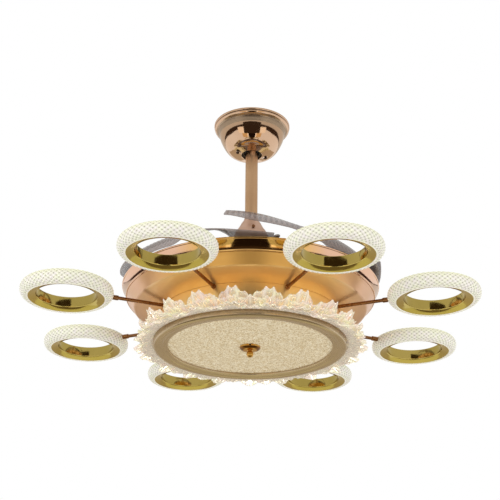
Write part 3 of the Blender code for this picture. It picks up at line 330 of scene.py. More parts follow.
FOOT_COLOUR = (0.05, 0.03, 0.02)
FOOT_DEPTH = 0.44
FOOT_RISE = 0.02
FOOT_LEAST = 0.02
FOOT_END_Y = 2.0
FOOT_TAPER = 2.4
LINE_Z = -0.04
LINE_SLOPE = 0.12
SOFTBOXES = (
    ("key", (-1.7, -1.8, -0.2), (1.4, 1.4), 18),
    ("fill", (1.8, -1.6, -0.9), (1.4, 1.4), 12),
    ("back", (0.0, 2.2, 0.3), (2.0, 1.0), 12),
)
LIGHT_AIM = Vector((0, 0, -0.4))


class Number:
    """A number that a node tree works out. Arithmetic with it adds math nodes to the tree."""

    def __init__(self, tree, socket):
        self.tree = tree
        self.socket = socket

    def __add__(self, other):
        return calc(self.tree, "ADD", self, other)

    def __sub__(self, other):
        return calc(self.tree, "SUBTRACT", self, other)

    def __rsub__(self, other):
        return calc(self.tree, "SUBTRACT", other, self)

    def __mul__(self, other):
        return calc(self.tree, "MULTIPLY", self, other)


def put(tree, socket, value):
    """Links a number or a socket to an input, or sets the input to a plain value."""
    source = value.socket if isinstance(value, Number) else value
    if isinstance(source, bpy.types.NodeSocket):
        tree.links.new(source, socket)
    else:
        socket.default_value = source


def add(tree, kind, settings=None, **values):
    """A node with its settings and inputs, which are named as on the node with _ for a space."""
    node = tree.nodes.new(kind)
    for key, value in (settings or {}).items():
        setattr(node, key, value)
    for label, value in values.items():
        put(tree, node.inputs[label.replace("_", " ")], value)
    return node


def calc(tree, operation, *values, clamp=False):
    """A math node's result."""
    node = add(tree, "ShaderNodeMath", {"operation": operation, "use_clamp": clamp})
    for socket, value in zip(node.inputs, values):
        put(tree, socket, value)
    return Number(tree, node.outputs[0])


def vector(tree, x, y, z):
    return add(tree, "ShaderNodeCombineXYZ", X=x, Y=y, Z=z).outputs[0]


def separated(tree, place):
    """The three parts of a place."""
    return [Number(tree, part) for part in add(tree, "ShaderNodeSeparateXYZ", Vector=place).outputs]


def noise(tree, place, scale, detail=3.0):
    node = add(tree, "ShaderNodeTexNoise", Vector=place, Scale=scale, Detail=detail)
    node.inputs["Roughness"].default_value = NOISE_ROUGHNESS
    return Number(tree, node.outputs["Fac"])


def between(tree, factor, low, high, start=0.35, end=0.65):
    """A factor's range start to end spread over low to high."""
    node = tree.nodes.new("ShaderNodeMapRange")
    for socket, value in zip(node.inputs, (factor, start, end, low, high)):
        put(tree, socket, value)
    return Number(tree, node.outputs[0])


def mixed(tree, factor, first, second):
    """Two colours mixed by a factor."""
    node = add(tree, "ShaderNodeMix", {"data_type": "RGBA"})
    put(tree, node.inputs[0], factor)
    put(tree, node.inputs[6], first)
    put(tree, node.inputs[7], second)
    return node.outputs[2]


def srgb(red, green, blue):
    """A colour as it looks on a screen, 0 to 255, as the linear one that shaders take."""
    def one(value):
        value /= 255
        return value / 12.92 if value <= 0.04045 else ((value + 0.055) / 1.055) ** 2.4
    return (one(red), one(green), one(blue), 1.0)


def object_place(tree):
    return tree.nodes.new("ShaderNodeTexCoord").outputs["Object"]


def lathe_place(tree):
    """Object coordinates as (radius, angle, height) about the fan's axis, for marks that a lathe leaves."""
    x, y, z = separated(tree, object_place(tree))
    return vector(tree, calc(tree, "SQRT", x * x + y * y), calc(tree, "ARCTAN2", y, x) * TURN_STRETCH, z)


def piece_value(tree, attribute):
    """What a piece's mesh says under an attribute's name."""
    return Number(tree, add(tree, "ShaderNodeAttribute", {"attribute_name": attribute}).outputs["Fac"])


def new_material(name):
    material = bpy.data.materials.new(name)
    material.use_nodes = True
    return material, material.node_tree


def shader_of(material):
    return material.node_tree.nodes["Principled BSDF"]


def finish(name, tones, roughness, grain, metallic=0.0, lathed=False, tone_scale=14.0, **sockets):
    """A procedural finish: two tones, roughness that wanders between two values, and a fine grain.

    Tones are screen colours, and grain is (scale, depth). Constants go straight on the shader's sockets.
    """
    material, tree = new_material(name)
    shader = shader_of(material)
    scale, depth = grain
    place = lathe_place(tree) if lathed else object_place(tree)
    tone = between(tree, noise(tree, object_place(tree), tone_scale), 0.0, 1.0)
    put(tree, shader.inputs["Base Color"], mixed(tree, tone, *[srgb(*colour) for colour in tones]))
    wander = noise(tree, place, scale * GRAIN_WANDER, detail=4.0)
    put(tree, shader.inputs["Roughness"], between(tree, wander, *roughness))
    bump = add(tree, "ShaderNodeBump", Distance=depth, Strength=1.0, Height=noise(tree, place, scale))
    put(tree, shader.inputs["Normal"], bump.outputs["Normal"])
    shader.inputs["Metallic"].default_value = metallic
    for label, value in sockets.items():
        shader.inputs[label.replace("_", " ")].default_value = value
    return material


def blended(material, share, colour):
    """Blends a finish into a screen colour by a share that is worked out in its tree."""
    socket = shader_of(material).inputs["Base Color"]
    before = socket.links[0].from_socket
    put(material.node_tree, socket, mixed(material.node_tree, share, before, srgb(*colour)))


def shaded_in_hollows(material, attribute, hollow_shade, low, high):
    """Paints shade into hollows: the finish takes the shade colour where an attribute is at or below low,
    fading out at high.
    """
    tree = material.node_tree
    blended(material, between(tree, piece_value(tree, attribute), 1.0, 0.0, low, high), hollow_shade)


def banded(material, low, high, colour, roughness):
    """Gives the part of a finish between two heights its own colour and roughness, as on a brushed band; it
    also paints bands of shade into a groove or a neck.
    """
    tree = material.node_tree
    z = separated(tree, object_place(tree))[2]
    above = between(tree, z, 0.0, 1.0, low, low + MARK_EDGE)
    inside = above * between(tree, z, 1.0, 0.0, high - MARK_EDGE, high)
    blended(material, inside, colour)
    socket = shader_of(material).inputs["Roughness"]
    before = Number(tree, socket.links[0].from_socket)
    put(tree, socket, before + inside * (roughness - before))


def painted_side_reflection(material, near, far, colour):
    """Blends a finish into another colour towards its left and right ends, along X, as a painted reflection
    of greyer surroundings at the sides.
    """
    tree = material.node_tree
    aside = calc(tree, "ABSOLUTE", separated(tree, object_place(tree))[0])
    blended(material, between(tree, aside, 0.0, 1.0, near, far), colour)


def tinted(material, low, high, colour):
    """Blends a finish into another colour with height, from low up to high."""
    tree = material.node_tree
    z = separated(tree, object_place(tree))[2]
    blended(material, between(tree, z, 0.0, 1.0, low, high), colour)


def cleared(material, attribute, most, least):
    """Lets light through a finish by an attribute: most where it is 0 and least where it is 1."""
    tree = material.node_tree
    share = between(tree, piece_value(tree, attribute), most, least, 0.0, 1.0)
    put(tree, shader_of(material).inputs["Transmission Weight"], share)


def metal(name, dark, light, roughness, scale, depth=FINE_GRAIN, metallic=1.0, lathed=False):
    return finish(name, (dark, light), roughness, (scale, depth), metallic, lathed)


ROSE_GOLD = metal("rose_gold_plate", (208, 172, 142), (218, 184, 154), (0.05, 0.10), 420, lathed=True)
banded(ROSE_GOLD, *CANOPY_BRUSHED_Z, (188, 164, 140), 0.30)
# Painted shade: a dark brown band in the groove between the canopy's beads.
banded(ROSE_GOLD, *CANOPY_GROOVE_SHADE_Z, (128, 92, 70), 0.25)
COVER_GOLD = metal("rose_gold_cover", (200, 166, 144), (208, 174, 152), (0.46, 0.54), 500, lathed=True)
ROD_GOLD = metal("rose_gold_tube", (214, 174, 136), (222, 184, 146), (0.42, 0.50), 700, lathed=True)
RIM_GOLD = metal("polished_rim_gold", (226, 176, 104), (232, 184, 114), (0.05, 0.10), 260, lathed=True)
# Painted reflection: the polished rim's left and right ends are blended to a pinkish grey.
painted_side_reflection(RIM_GOLD, *RIM_SIDE_REFLECTION_X, (228, 184, 154))
# The satin bowl's faint golden emission is a painted glow; the bowl is no lamp.
SATIN_GOLD = finish(
    "satin_bowl_gold",
    ((244, 206, 138), (248, 212, 146)),
    (0.28, 0.36),
    (900, FINE_GRAIN),
    0.82,
    lathed=True,
    Emission_Color=srgb(226, 182, 110),
    Emission_Strength=0.07,
)
tinted(SATIN_GOLD, *BOWL_CREASE_Z, (218, 164, 84))
# Painted reflection: the bowl's left and right ends are blended to a pinker tone.
painted_side_reflection(SATIN_GOLD, *BOWL_SIDE_REFLECTION_X, (218, 176, 148))
RING_GOLD = metal("polished_ring_gold", (186, 165, 88), (200, 178, 100), (0.07, 0.15), 300)
FINIAL_GOLD = metal("polished_finial_gold", (198, 148, 68), (208, 160, 80), (0.07, 0.12), 300)
# Painted shade: a dark brown band on the underside of the finial's dome, above its neck.
banded(FINIAL_GOLD, *FINIAL_NECK_SHADE_Z, (124, 80, 34), 0.20)
ARM_GOLD = metal("arm_bronze", (138, 94, 56), (154, 108, 68), (0.20, 0.30), 500)
CHAMPAGNE = metal(
    "satin_champagne", (186, 164, 130), (196, 174, 140), (0.24, 0.32), 900, SATIN_GRAIN, 0.9, lathed=True
)
SMOKED_ACRYLIC = finish(
    "smoked_acrylic", ((150, 133, 126), (162, 145, 137)), (0.16, 0.24), (300, FINE_GRAIN),
    Alpha=0.66, IOR=1.49,
)
# Painted shade: darker stripes along the low lines of the blade's ribs.
shaded_in_hollows(SMOKED_ACRYLIC, "rib", (112, 97, 92), 0.0, 1.0)
CRYSTAL = finish(
    "cut_crystal", ((253, 244, 246), (250, 252, 226)), (0.06, 0.12), (200, FINE_GRAIN), tone_scale=130.0,
    Transmission_Weight=0.12, IOR=1.49, Emission_Color=srgb(255, 252, 232), Emission_Strength=0.14,
)
# Painted refraction: the upper facets of the ring are tinted yellow-green.
tinted(CRYSTAL, *CRYSTAL_REFRACTION_TINT_Z, (246, 246, 198))
# Painted shade: grey in the bottoms of the crystal's pits.
shaded_in_hollows(CRYSTAL, "cut", (128, 126, 102), 0.08, 0.62)
# The petals' faint emission is a painted glow; they are no lamp.
PETAL_CRYSTAL = finish(
    "petal_crystal", ((255, 240, 236), (254, 254, 226)), (0.03, 0.08), (160, FINE_GRAIN), tone_scale=60.0,
    IOR=1.42, Emission_Color=srgb(255, 246, 226), Emission_Strength=0.08,
)
cleared(PETAL_CRYSTAL, "ridge", 0.88, 0.25)
# The frosted skirt's faint emission is a painted glow; it is no lamp.
FROSTED_CRYSTAL = finish(
    "frosted_crystal", ((240, 226, 210), (246, 238, 218)), (0.20, 0.32), (500, SATIN_GRAIN), tone_scale=60.0,
    Transmission_Weight=0.35, IOR=1.49, Emission_Color=srgb(255, 244, 232), Emission_Strength=0.05,
)
PEBBLED_GLASS = finish(
    "pebbled_glass", ((246, 230, 196), (254, 244, 218)), (0.22, 0.32), (900, COARSE_GRAIN), tone_scale=160.0,
    IOR=1.49, Emission_Color=srgb(255, 232, 186), Emission_Strength=0.13,
)
# Painted shade: a darker beige between the pebbles.
shaded_in_hollows(PEBBLED_GLASS, "worm", (194, 168, 120), 0.10, 0.80)
ZINC = metal("zinc_plate", (168, 168, 170), (196, 196, 198), (0.28, 0.42), 600, SATIN_GRAIN)
DARK_ZINC = metal("dulled_zinc", (72, 66, 62), (92, 84, 78), (0.50, 0.62), 600, SATIN_GRAIN, 0.8)
COVER_SCREW = metal("bronzed_screw", (132, 88, 56), (152, 106, 70), (0.40, 0.50), 900, COARSE_GRAIN, 0.8)
HUB_ZINC = metal("cast_hub", (146, 136, 130), (162, 152, 146), (0.50, 0.62), 600, SATIN_GRAIN, 0.5)
DARK_SCREW = metal("blackened_screw", (58, 42, 32), (84, 62, 46), (0.30, 0.45), 900, COARSE_GRAIN, 0.9)
GEAR_BRASS = metal("machined_brass", (196, 160, 92), (212, 176, 108), (0.22, 0.34), 800, SATIN_GRAIN)
COPPER = metal("enamelled_copper", (150, 82, 50), (182, 104, 64), (0.30, 0.45), 1400, WIRE_GRAIN, 0.9)
BLACK_PLASTIC = finish("black_plastic", ((24, 24, 25), (36, 36, 37)), (0.42, 0.55), (1500, COARSE_GRAIN))
WHITE_PLASTIC = finish("board_white", ((222, 222, 216), (232, 232, 228)), (0.40, 0.50), (900, SATIN_GRAIN))


def height(h):
    return h - DROP


def lowered(profile):
    return [(r, height(h)) for r, h in profile]


def stepped(radius, h, steps):
    """Points of a profile from a table of steps."""
    return [(radius - inset, h + rise) for inset, rise in steps]


def polar(radius, angle, z=0.0):
    return Vector((radius * math.cos(angle), radius * math.sin(angle), z))


def ramp(value, low, high):
    """0 below low, 1 above high, and a smooth rise between them."""
    t = min(max((value - low) / (high - low), 0.0), 1.0)
    return t * t * (3 - 2 * t)


def piece(name, bm, material, edge_angle=32):
    """A finished mesh object at the origin.

    Edges sharper than the angle stay crisp, and 0 keeps every facet flat.
    """
    bmesh.ops.recalc_face_normals(bm, faces=bm.faces)
    mesh = bpy.data.meshes.new(name)
    bm.to_mesh(mesh)
    bm.free()
    if edge_angle:
        mesh.shade_smooth()
        mesh.set_sharp_from_angle(angle=math.radians(edge_angle))
    obj = bpy.data.objects.new(name, mesh)
    bpy.context.scene.collection.objects.link(obj)
    mesh.materials.append(material)
    return obj


def given(obj, slot, *nodes, body="hanging_body"):
    """Says what a finished piece rides on and which CAD nodes it stands for. The slot, which names its
    finish, is not used.
    """
    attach(obj, body)
    if nodes:
        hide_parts(*nodes)


def sheet_faces(bm, rows, looped=False):
    """Adds faces between each row of points and the next. A looped row's end meets its start."""
    for near, far in zip(rows, rows[1:]):
        for k in range(len(near) if looped else len(near) - 1):
            after = (k + 1) % len(near)
            bm.faces.new((near[k], far[k], far[after], near[after]))


def two_sheets(bm, rows, across, point, looped=False):
    """Adds the upper and the lower sheet of a thin piece. Its points come by side, row and column."""
    sides = []
    for side in (1, -1):
        grid = [[point(side, i, k) for k in range(across)] for i in range(rows)]
        sheet_faces(bm, grid, looped)
        sides.append(grid)
    return sides


def soft(profile, reach, points=4):
    """A closed profile with each corner rounded off, starting a reach away from it."""
    made = []
    for i, corner in enumerate(profile):
        here = Vector(corner)
        before = Vector(profile[i - 1]) - here
        after = Vector(profile[(i + 1) % len(profile)]) - here
        start = here + before.normalized() * min(reach, before.length * ROUNDING_SHARE)
        end = here + after.normalized() * min(reach, after.length * ROUNDING_SHARE)
        for k in range(points):
            t = k / (points - 1)
            point = start.lerp(here, t).lerp(here.lerp(end, t), t)
            made.append((point.x, point.y))
    return made


def turned(bm, profile, steps=LATHE_STEPS, closed=True, matrix=None):
    """Adds a profile of (radius, z) turned about Z to a mesh."""
    rings = []
    for i in range(steps):
        rings.append([bm.verts.new(polar(r, math.tau * i / steps, z)) for r, z in profile])
    sheet_faces(bm, rings + rings[:1], closed)
    made = [v for ring in rings for v in ring]
    if matrix:
        bmesh.ops.transform(bm, matrix=matrix, verts=made)
    bmesh.ops.remove_doubles(bm, verts=made, dist=WELD)
    return bm


def lathe(name, profile, material, steps=LATHE_STEPS, closed=True):
    return piece(name, turned(bmesh.new(), profile, steps, closed), material)


def turned_part(name, profile, reach, material, slot, node, steps=WIDE_STEPS, points=3):
    """A finished part of the hanging body, turned from a profile of (radius, h) with its corners rounded."""
    given(lathe(name, lowered(soft(profile, reach, points)), material, steps), slot, node)


def bar(bm, radius, start, end, sides, end_round=0.0006):
    """Adds a round bar with softened ends between two points."""
    start, end = Vector(start), Vector(end)
    length = (end - start).length
    place = Matrix.Translation(start) @ (end - start).to_track_quat("Z", "Y").to_matrix().to_4x4()
    soft_r = min(end_round, radius * 0.5)
    profile = [(0.0, 0.0), (radius - soft_r, 0.0), (radius, soft_r), (radius, length - soft_r)]
    profile += [(radius - soft_r, length), (0.0, length)]
    turned(bm, profile, sides, False, place)


def settled(obj):
    """The mesh that an object's modifiers make. The modifiers are removed."""
    bpy.context.view_layer.update()
    mesh = bpy.data.meshes.new_from_object(obj.evaluated_get(bpy.context.evaluated_depsgraph_get()))
    obj.modifiers.clear()
    return mesh


def new_tree(name, inputs):
    """A geometry node tree with named inputs, and the numbers that they give inside it."""
    tree = bpy.data.node_groups.new(name, "GeometryNodeTree")
    for label, value in inputs.items():
        kind = "NodeSocketInt" if isinstance(value, int) else "NodeSocketFloat"
        tree.interface.new_socket(label, in_out="INPUT", socket_type=kind).default_value = value
    tree.interface.new_socket("Geometry", in_out="OUTPUT", socket_type="NodeSocketGeometry")
    outputs = tree.nodes.new("NodeGroupInput").outputs
    return tree, [Number(tree, socket) for socket in outputs][:len(inputs)]


def ended(tree, geometry, material):
    """Real meshes with their material, as the tree's result."""
    real = add(tree, "GeometryNodeRealizeInstances", Geometry=geometry)
    finished = add(tree, "GeometryNodeSetMaterial", Geometry=real.outputs[0], Material=material)
    tree.links.new(finished.outputs[0], tree.nodes.new("NodeGroupOutput").inputs[0])
    return tree


def grown(name, tree, place, edge_angle=0, **values):
    """The tree's result with these inputs at a place, as a plain mesh object."""
    carrier = bpy.data.objects.new(name + "_grower", bpy.data.meshes.new(name + "_seed"))
    bpy.context.scene.collection.objects.link(carrier)
    modifier = carrier.modifiers.new("grow", "NODES")
    modifier.node_group = tree
    for socket in tree.interface.items_tree:
        key = socket.name.replace(" ", "_")
        if socket.in_out == "INPUT" and key in values:
            modifier[socket.identifier] = values[key]
    mesh = settled(carrier)
    bpy.data.objects.remove(carrier)
    mesh.transform(place)
    bm = bmesh.new()
    bm.from_mesh(mesh)
    for face in bm.faces:
        face.material_index = 0
    return piece(name, bm, mesh.materials[-1], edge_angle)


def unit_grid(tree, columns, rows):
    """A grid of so many points, and how far along and up it each point lies, from 0 to 1."""
    grid = add(tree, "GeometryNodeMeshGrid", Size_X=1.0, Size_Y=1.0, Vertices_X=columns, Vertices_Y=rows)
    x, y, z = separated(tree, add(tree, "GeometryNodeInputPosition").outputs[0])
    return grid.outputs[0], x + 0.5, y + 0.5


def round_place(tree, radius, turn, z):
    """A place at a radius and a turn about the upright axis."""
    return vector(tree, radius * calc(tree, "COSINE", turn), radius * calc(tree, "SINE", turn), z)


def moved(tree, geometry, place):
    return add(tree, "GeometryNodeSetPosition", Geometry=geometry, Position=place).outputs[0]


def marked(tree, geometry, name, value):
    """The geometry with a value kept on its points, for a finish to read under that name."""
    kept = {"data_type": "FLOAT", "domain": "POINT"}
    node = add(tree, "GeometryNodeStoreNamedAttribute", kept, Geometry=geometry, Name=name, Value=value)
    return node.outputs[0]


def welded(tree, sheets, reach):
    """Sheets joined into one mesh, with points that lie within reach of each other made one."""
    both = tree.nodes.new("GeometryNodeJoinGeometry")
    for sheet in sheets:
        tree.links.new(sheet, both.inputs[0])
    return add(tree, "GeometryNodeMergeByDistance", Geometry=both.outputs[0], Distance=reach).outputs[0]


def fuller(tree, value):
    """A sine or cosine pushed outwards, so that an ellipse drawn with it has fuller corners."""
    size = calc(tree, "POWER", calc(tree, "ABSOLUTE", value), CRYSTAL_FULLNESS)
    return calc(tree, "SIGN", value) * size


def crystal_ring_tree():
    """A ring of cut facets: a lattice of pits with a raised point between each four, and a plain inner side.

    The two angles are where the facets start and end on the ring's section, from straight out.
    """
    inputs = {
        "Middle Radius": 0.0703,
        "Half Width": 0.0147,
        "Half Height": 0.0140,
        "Facets": 54,
        "Rows": 8,
        "Cut Depth": 0.0011,
        "First Angle": math.radians(-91.5),
        "Last Angle": math.radians(155),
        "Drop": 0.0008,
    }
    tree, numbers = new_tree("faceted_ring", inputs)
    middle, half_width, half_height, facets, rows, cut_depth, first, last, drop = numbers
    columns = facets * 4

    def wrapped(rows_here, depth):
        grid, along, up = unit_grid(tree, columns + 1, rows_here + 1)
        row = up * rows_here
        crate_x = calc(tree, "COSINE", along * (columns * (math.pi / 2)))
        crate_y = calc(tree, "COSINE", row * (math.pi / 2))
        raised = 0.5 - crate_x * crate_y * 0.5
        before_last = calc(tree, "LESS_THAN", row, rows_here - 0.5)
        inside = calc(tree, "GREATER_THAN", row, 0.5) * before_last
        sunk = (1.0 - raised) * (inside * depth)
        lean = first + up * (last - first)
        radius = middle + (half_width - sunk) * fuller(tree, calc(tree, "COSINE", lean))
        z = (half_height - sunk) * fuller(tree, calc(tree, "SINE", lean)) - drop
        # The cut value also places the painted shade in the pits.
        grid = marked(tree, grid, "cut", calc(tree, "MAXIMUM", raised, 1.0 - inside))
        return moved(tree, grid, round_place(tree, radius, along * math.tau, z))

    facet_sheet = wrapped(rows * 4, cut_depth)
    closed = welded(tree, [wrapped(1, 0.0), facet_sheet], 0.00001)
    cut = add(tree, "GeometryNodeTriangulate", {"quad_method": "SHORTEST_DIAGONAL"}, Mesh=closed)
    return ended(tree, cut.outputs[0], CRYSTAL)


def petal_row_tree(leaf):
    """Copies of a leaf round a circle, each tilted, turned and sized a little differently."""
    inputs = {
        "Petals": PETALS,
        "Ring Radius": PETAL_BASE_R,
        "First Angle": 0.0,
        "Tilt": 0.0,
        "Tilt Spread": 0.10,
        "Turn Spread": 0.03,
        "Size Spread": 0.06,
        "Seed": 3,
    }
    tree, numbers = new_tree("petal_row", inputs)
    petals, ring_radius, first, tilt, tilt_spread, turn_spread, size_spread, seed = numbers
    line = add(tree, "GeometryNodeMeshLine", {"mode": "OFFSET"}, Count=petals)
    index = Number(tree, add(tree, "GeometryNodeInputIndex").outputs[0])
    angle = first + calc(tree, "DIVIDE", index * math.tau, petals)
    spots = moved(tree, line.outputs[0], round_place(tree, ring_radius, angle, 0.0))

    def wander(spread, offset):
        chance = add(tree, "FunctionNodeRandomValue", {"data_type": "FLOAT"}, Seed=seed + offset)
        put(tree, chance.inputs[2], spread * -1.0)
        put(tree, chance.inputs[3], spread)
        return Number(tree, chance.outputs[1])

    lean = wander(tilt_spread, 1) - tilt
    turn = vector(tree, wander(tilt_spread, 2), lean, angle + wander(turn_spread, 3))
    size = 1.0 - calc(tree, "ABSOLUTE", wander(size_spread, 4))
    copies = add(
        tree,
        "GeometryNodeInstanceOnPoints",
        Points=spots,
        Instance=add(tree, "GeometryNodeObjectInfo", Object=leaf).outputs["Geometry"],
        Rotation=add(tree, "FunctionNodeEulerToRotation", Euler=turn).outputs[0],
        Scale=vector(tree, size, size, size),
    )
    return ended(tree, copies.outputs[0], PETAL_CRYSTAL)


def pebble_tree():
    """A thin disc with a hole, whose lower face is covered with small rounded pebbles."""
    inputs = {
        "Radius": DIFFUSER_R,
        "Hole Radius": 0.0048,
        "Thickness": DIFFUSER_THICKNESS,
        "Pebble Size": 0.0046,
        "Pebble Height": 0.0008,
        "Pebble Steepness": 8.0,
        "Rim Steepness": 30.0,
    }
    tree, numbers = new_tree("pebbled_disc", inputs)
    radius, hole, thickness, size, rise, steepness, rim_steepness = numbers

    def face(rings, z, pebbled):
        sheet, along, out = unit_grid(tree, PEBBLE_STEPS, rings)
        reach = hole + out * (radius - hole)
        turn = along * math.tau
        if pebbled:
            flat = round_place(tree, reach, turn, 0.0)
            waves = calc(tree, "DIVIDE", 1.0, size)
            field = add(tree, "ShaderNodeTexNoise", Vector=flat, Scale=waves, Detail=1.0, Distortion=0.6)
            off = calc(tree, "ABSOLUTE", Number(tree, field.outputs[0]) - 0.5)
            dome = calc(tree, "SUBTRACT", 1.0, off * steepness, clamp=True)
            edge = calc(tree, "MULTIPLY", 1.0 - out, rim_steepness, clamp=True)
            z = z - rise * (dome * edge)
            # The worm value also places the painted shade between the pebbles.
            sheet = marked(tree, sheet, "worm", dome)
        return moved(tree, sheet, round_place(tree, reach, turn, z))

    def wall(at):
        sheet, along, up = unit_grid(tree, PEBBLE_STEPS, 2)
        return moved(tree, sheet, round_place(tree, at, along * math.tau, up * thickness))

    sheets = [face(PEBBLE_RINGS, 0.0, True), face(2, thickness, False), wall(radius), wall(hole)]
    return ended(tree, welded(tree, sheets, 0.000005), PEBBLED_GLASS)


def make_canopy():
    """The stepped bell at the ceiling, with two beads, a flared band, a crease and a mirror bowl."""
    outer = stepped(CANOPY_R, 0.0, CANOPY_BEAD_STEPS) + stepped(CANOPY_WAIST_R, 0.0, CANOPY_BOWL_STEPS)
    hole = [
        (CANOPY_HOLE_R + CANOPY_WALL, -CANOPY_DEPTH),
        (CANOPY_HOLE_R, -CANOPY_DEPTH + CANOPY_WALL / 2),
        (CANOPY_HOLE_R, -CANOPY_DEPTH + CANOPY_WALL),
    ]
    canopy = lathe("canopy_shell", outer + hole + CANOPY_INSIDE, ROSE_GOLD)
    for side in (0, 1):
        cut_keyhole(canopy, BRACKET_TURN + math.pi * side)
    given(canopy, "rose_gold", "canopy", body="ceiling_mount")


def cut_keyhole(canopy, angle):
    """A screw's hole with a wider one beside it, so that the canopy twists off."""
    at = polar(CANOPY_SCREW_AT, angle)
    beside = at + Vector((-math.sin(angle), math.cos(angle), 0.0)) * KEYHOLE_STEP
    low, high = KEYHOLE_Z
    for spot, radius in ((at, SCREW_HOLE_R), (beside, KEYHOLE_R)):
        bm = bmesh.new()
        bar(bm, radius, (spot.x, spot.y, low), (spot.x, spot.y, high), KEYHOLE_SIDES)
        apply_cut(canopy, piece("keyhole_tool", bm, DARK_SCREW))


def apply_cut(obj, tool):
    """Cuts a closed tool out of a piece for good."""
    boolean = obj.modifiers.new("cut", "BOOLEAN")
    boolean.operation = "DIFFERENCE"
    boolean.solver = "EXACT"
    boolean.object = tool
    mesh = settled(obj)
    mesh.name = obj.name
    mesh.materials.clear()
    mesh.materials.append(obj.data.materials[0])
    for polygon in mesh.polygons:
        polygon.material_index = 0
    obj.data = mesh
    bpy.data.objects.remove(tool)


def make_rod_and_cover():
    bore, bottom = ROD_R - ROD_WALL, height(ROD_BOTTOM_H)
    profile = [(ROD_R, ROD_TOP_Z), (ROD_R, bottom), (bore, bottom), (bore, ROD_TOP_Z)]
    given(lathe("rod_tube", soft(profile, 0.0006), ROD_GOLD, FINE_STEPS), "rose_gold", "downrod")
    top_r = ROD_R + COVER_GAP
    outer = [(top_r + COVER_WALL * 0.6, COVER_TOP_H), (top_r + COVER_WALL, COVER_TOP_H - COVER_LIP)]
    outer += COVER_CURVE + [(COVER_BOTTOM_R, COVER_BOTTOM_H)]
    inner = [(r - COVER_WALL, h) for r, h in reversed(outer[1:])] + [(top_r, COVER_TOP_H)]
    turned_part("cone_cover", outer + inner, 0.0012, COVER_GOLD, "rose_gold", "yoke_cover", CONE_STEPS, 4)


def make_housing():
    """The shallow tray with its mirror rim, the satin bowl below it in two slopes, and the light box."""
    edge = RIM_R - SHEET - PLATE_INSET
    rim = stepped(RIM_R, RIM_TOP_H, RIM_TOP_STEPS) + stepped(RIM_BOTTOM_R, RIM_BOTTOM_H, RIM_FOOT_STEPS)
    rim += [(RIM_BOTTOM_R - SHEET, RIM_BOTTOM_H), (edge - SHEET, PLATE_H), (SHAFT_HOLE_R, PLATE_H)]
    rim += [(SHAFT_HOLE_R, PLATE_TOP_H), (edge, PLATE_TOP_H), (RIM_R - SHEET, RIM_TOP_H - 0.0004)]
    turned_part("rim_and_tray", rim, 0.0005, RIM_GOLD, "gold", "housing_top")
    start = RIM_BOTTOM_R - BOWL_SEAM_INSET
    seam = RIM_BOTTOM_H - BOWL_SEAM_DROP
    bowl = stepped(start, seam, BOWL_SEAM_STEPS) + stepped(TIER_BOTTOM_R, TIER_BOTTOM_H, TIER_STEPS)
    bowl += [BOWL_MIDDLE, (BOWL_INNER_R, BOWL_INNER_H), (BOWL_INNER_R, BOWL_INNER_H + SHEET)]
    bowl += [(TIER_BOTTOM_R - SHEET, TIER_BOTTOM_H + SHEET), (start - SHEET, seam)]
    turned_part("satin_bowl", bowl, 0.0004, SATIN_GOLD, "satin_gold", "housing_bowl")
    roof = DRUM_TOP_H - SHEET
    neck_low = NECK_TOP_H - NECK_FLANGE
    pan = [(NECK_FLANGE_R, NECK_TOP_H), (NECK_FLANGE_R, neck_low), (NECK_R, neck_low), (NECK_R, DRUM_TOP_H)]
    pan += [(DRUM_R, DRUM_TOP_H), (DRUM_R, DRUM_BOTTOM_H), (DRUM_R - SHEET, DRUM_BOTTOM_H)]
    pan += [(DRUM_R - SHEET, roof), (NECK_R - SHEET, roof), (NECK_R - SHEET, NECK_TOP_H)]
    turned_part("light_box", pan, 0.0008, SATIN_GOLD, "satin_gold", "lamp_drum", LATHE_STEPS, 4)


def make_light():
    """Bezel, pebbled diffuser and finial."""
    lip = DIFFUSER_H - DIFFUSER_SEAT
    seat = DIFFUSER_R + DIFFUSER_SEAT
    bezel = [(BEZEL_R, BEZEL_TOP_H)] + stepped(BEZEL_R, BEZEL_BOTTOM_H, BEZEL_STEPS)
    bezel += stepped(BEZEL_INNER_R, BEZEL_BOTTOM_H, BEZEL_INNER_STEPS)
    bezel += [(BEZEL_INNER_R, lip), (seat, lip), (seat, BEZEL_TOP_H)]
    turned_part("light_bezel", bezel, 0.0005, CHAMPAGNE, "champagne", "bezel")
    place = Matrix.Translation((0, 0, height(DIFFUSER_H + PEBBLE_LIFT)))
    given(grown("pebbled_diffuser", pebble_tree(), place, 60), "pebbled_glass", "diffuser")

    ball_h = lip - FINIAL_CAP - FINIAL_BALL_DROP
    start = math.acos(FINIAL_NECK_R / FINIAL_BALL_R)
    profile = [(0.0, FINIAL_STEM_TOP_H), (FINIAL_STEM_R, FINIAL_STEM_TOP_H), (FINIAL_STEM_R, lip)]
    profile += stepped(FINIAL_CAP_R, lip, FINIAL_CAP_STEPS)
    for i in range(FINIAL_DOME_POINTS + 1):
        angle = math.radians(90) * i / FINIAL_DOME_POINTS
        dome_r = FINIAL_DOME_R * math.cos(angle) ** FINIAL_DOME_FULLNESS + FINIAL_DOME_MIDDLE
        profile.append((dome_r, lip - FINIAL_DOME_DROP - FINIAL_DOME * math.sin(angle)))
    profile += [(radius, lip - drop) for radius, drop in FINIAL_COLLAR]
    for i in range(FINIAL_BALL_POINTS + 1):
        angle = start + (-math.pi / 2 - start) * i / FINIAL_BALL_POINTS
        profile.append((max(FINIAL_BALL_R * math.cos(angle), 0.0), ball_h + FINIAL_BALL_R * math.sin(angle)))
    given(lathe("finial_knob", lowered(profile), FINIAL_GOLD, FINE_STEPS, closed=False), "gold", "finial")


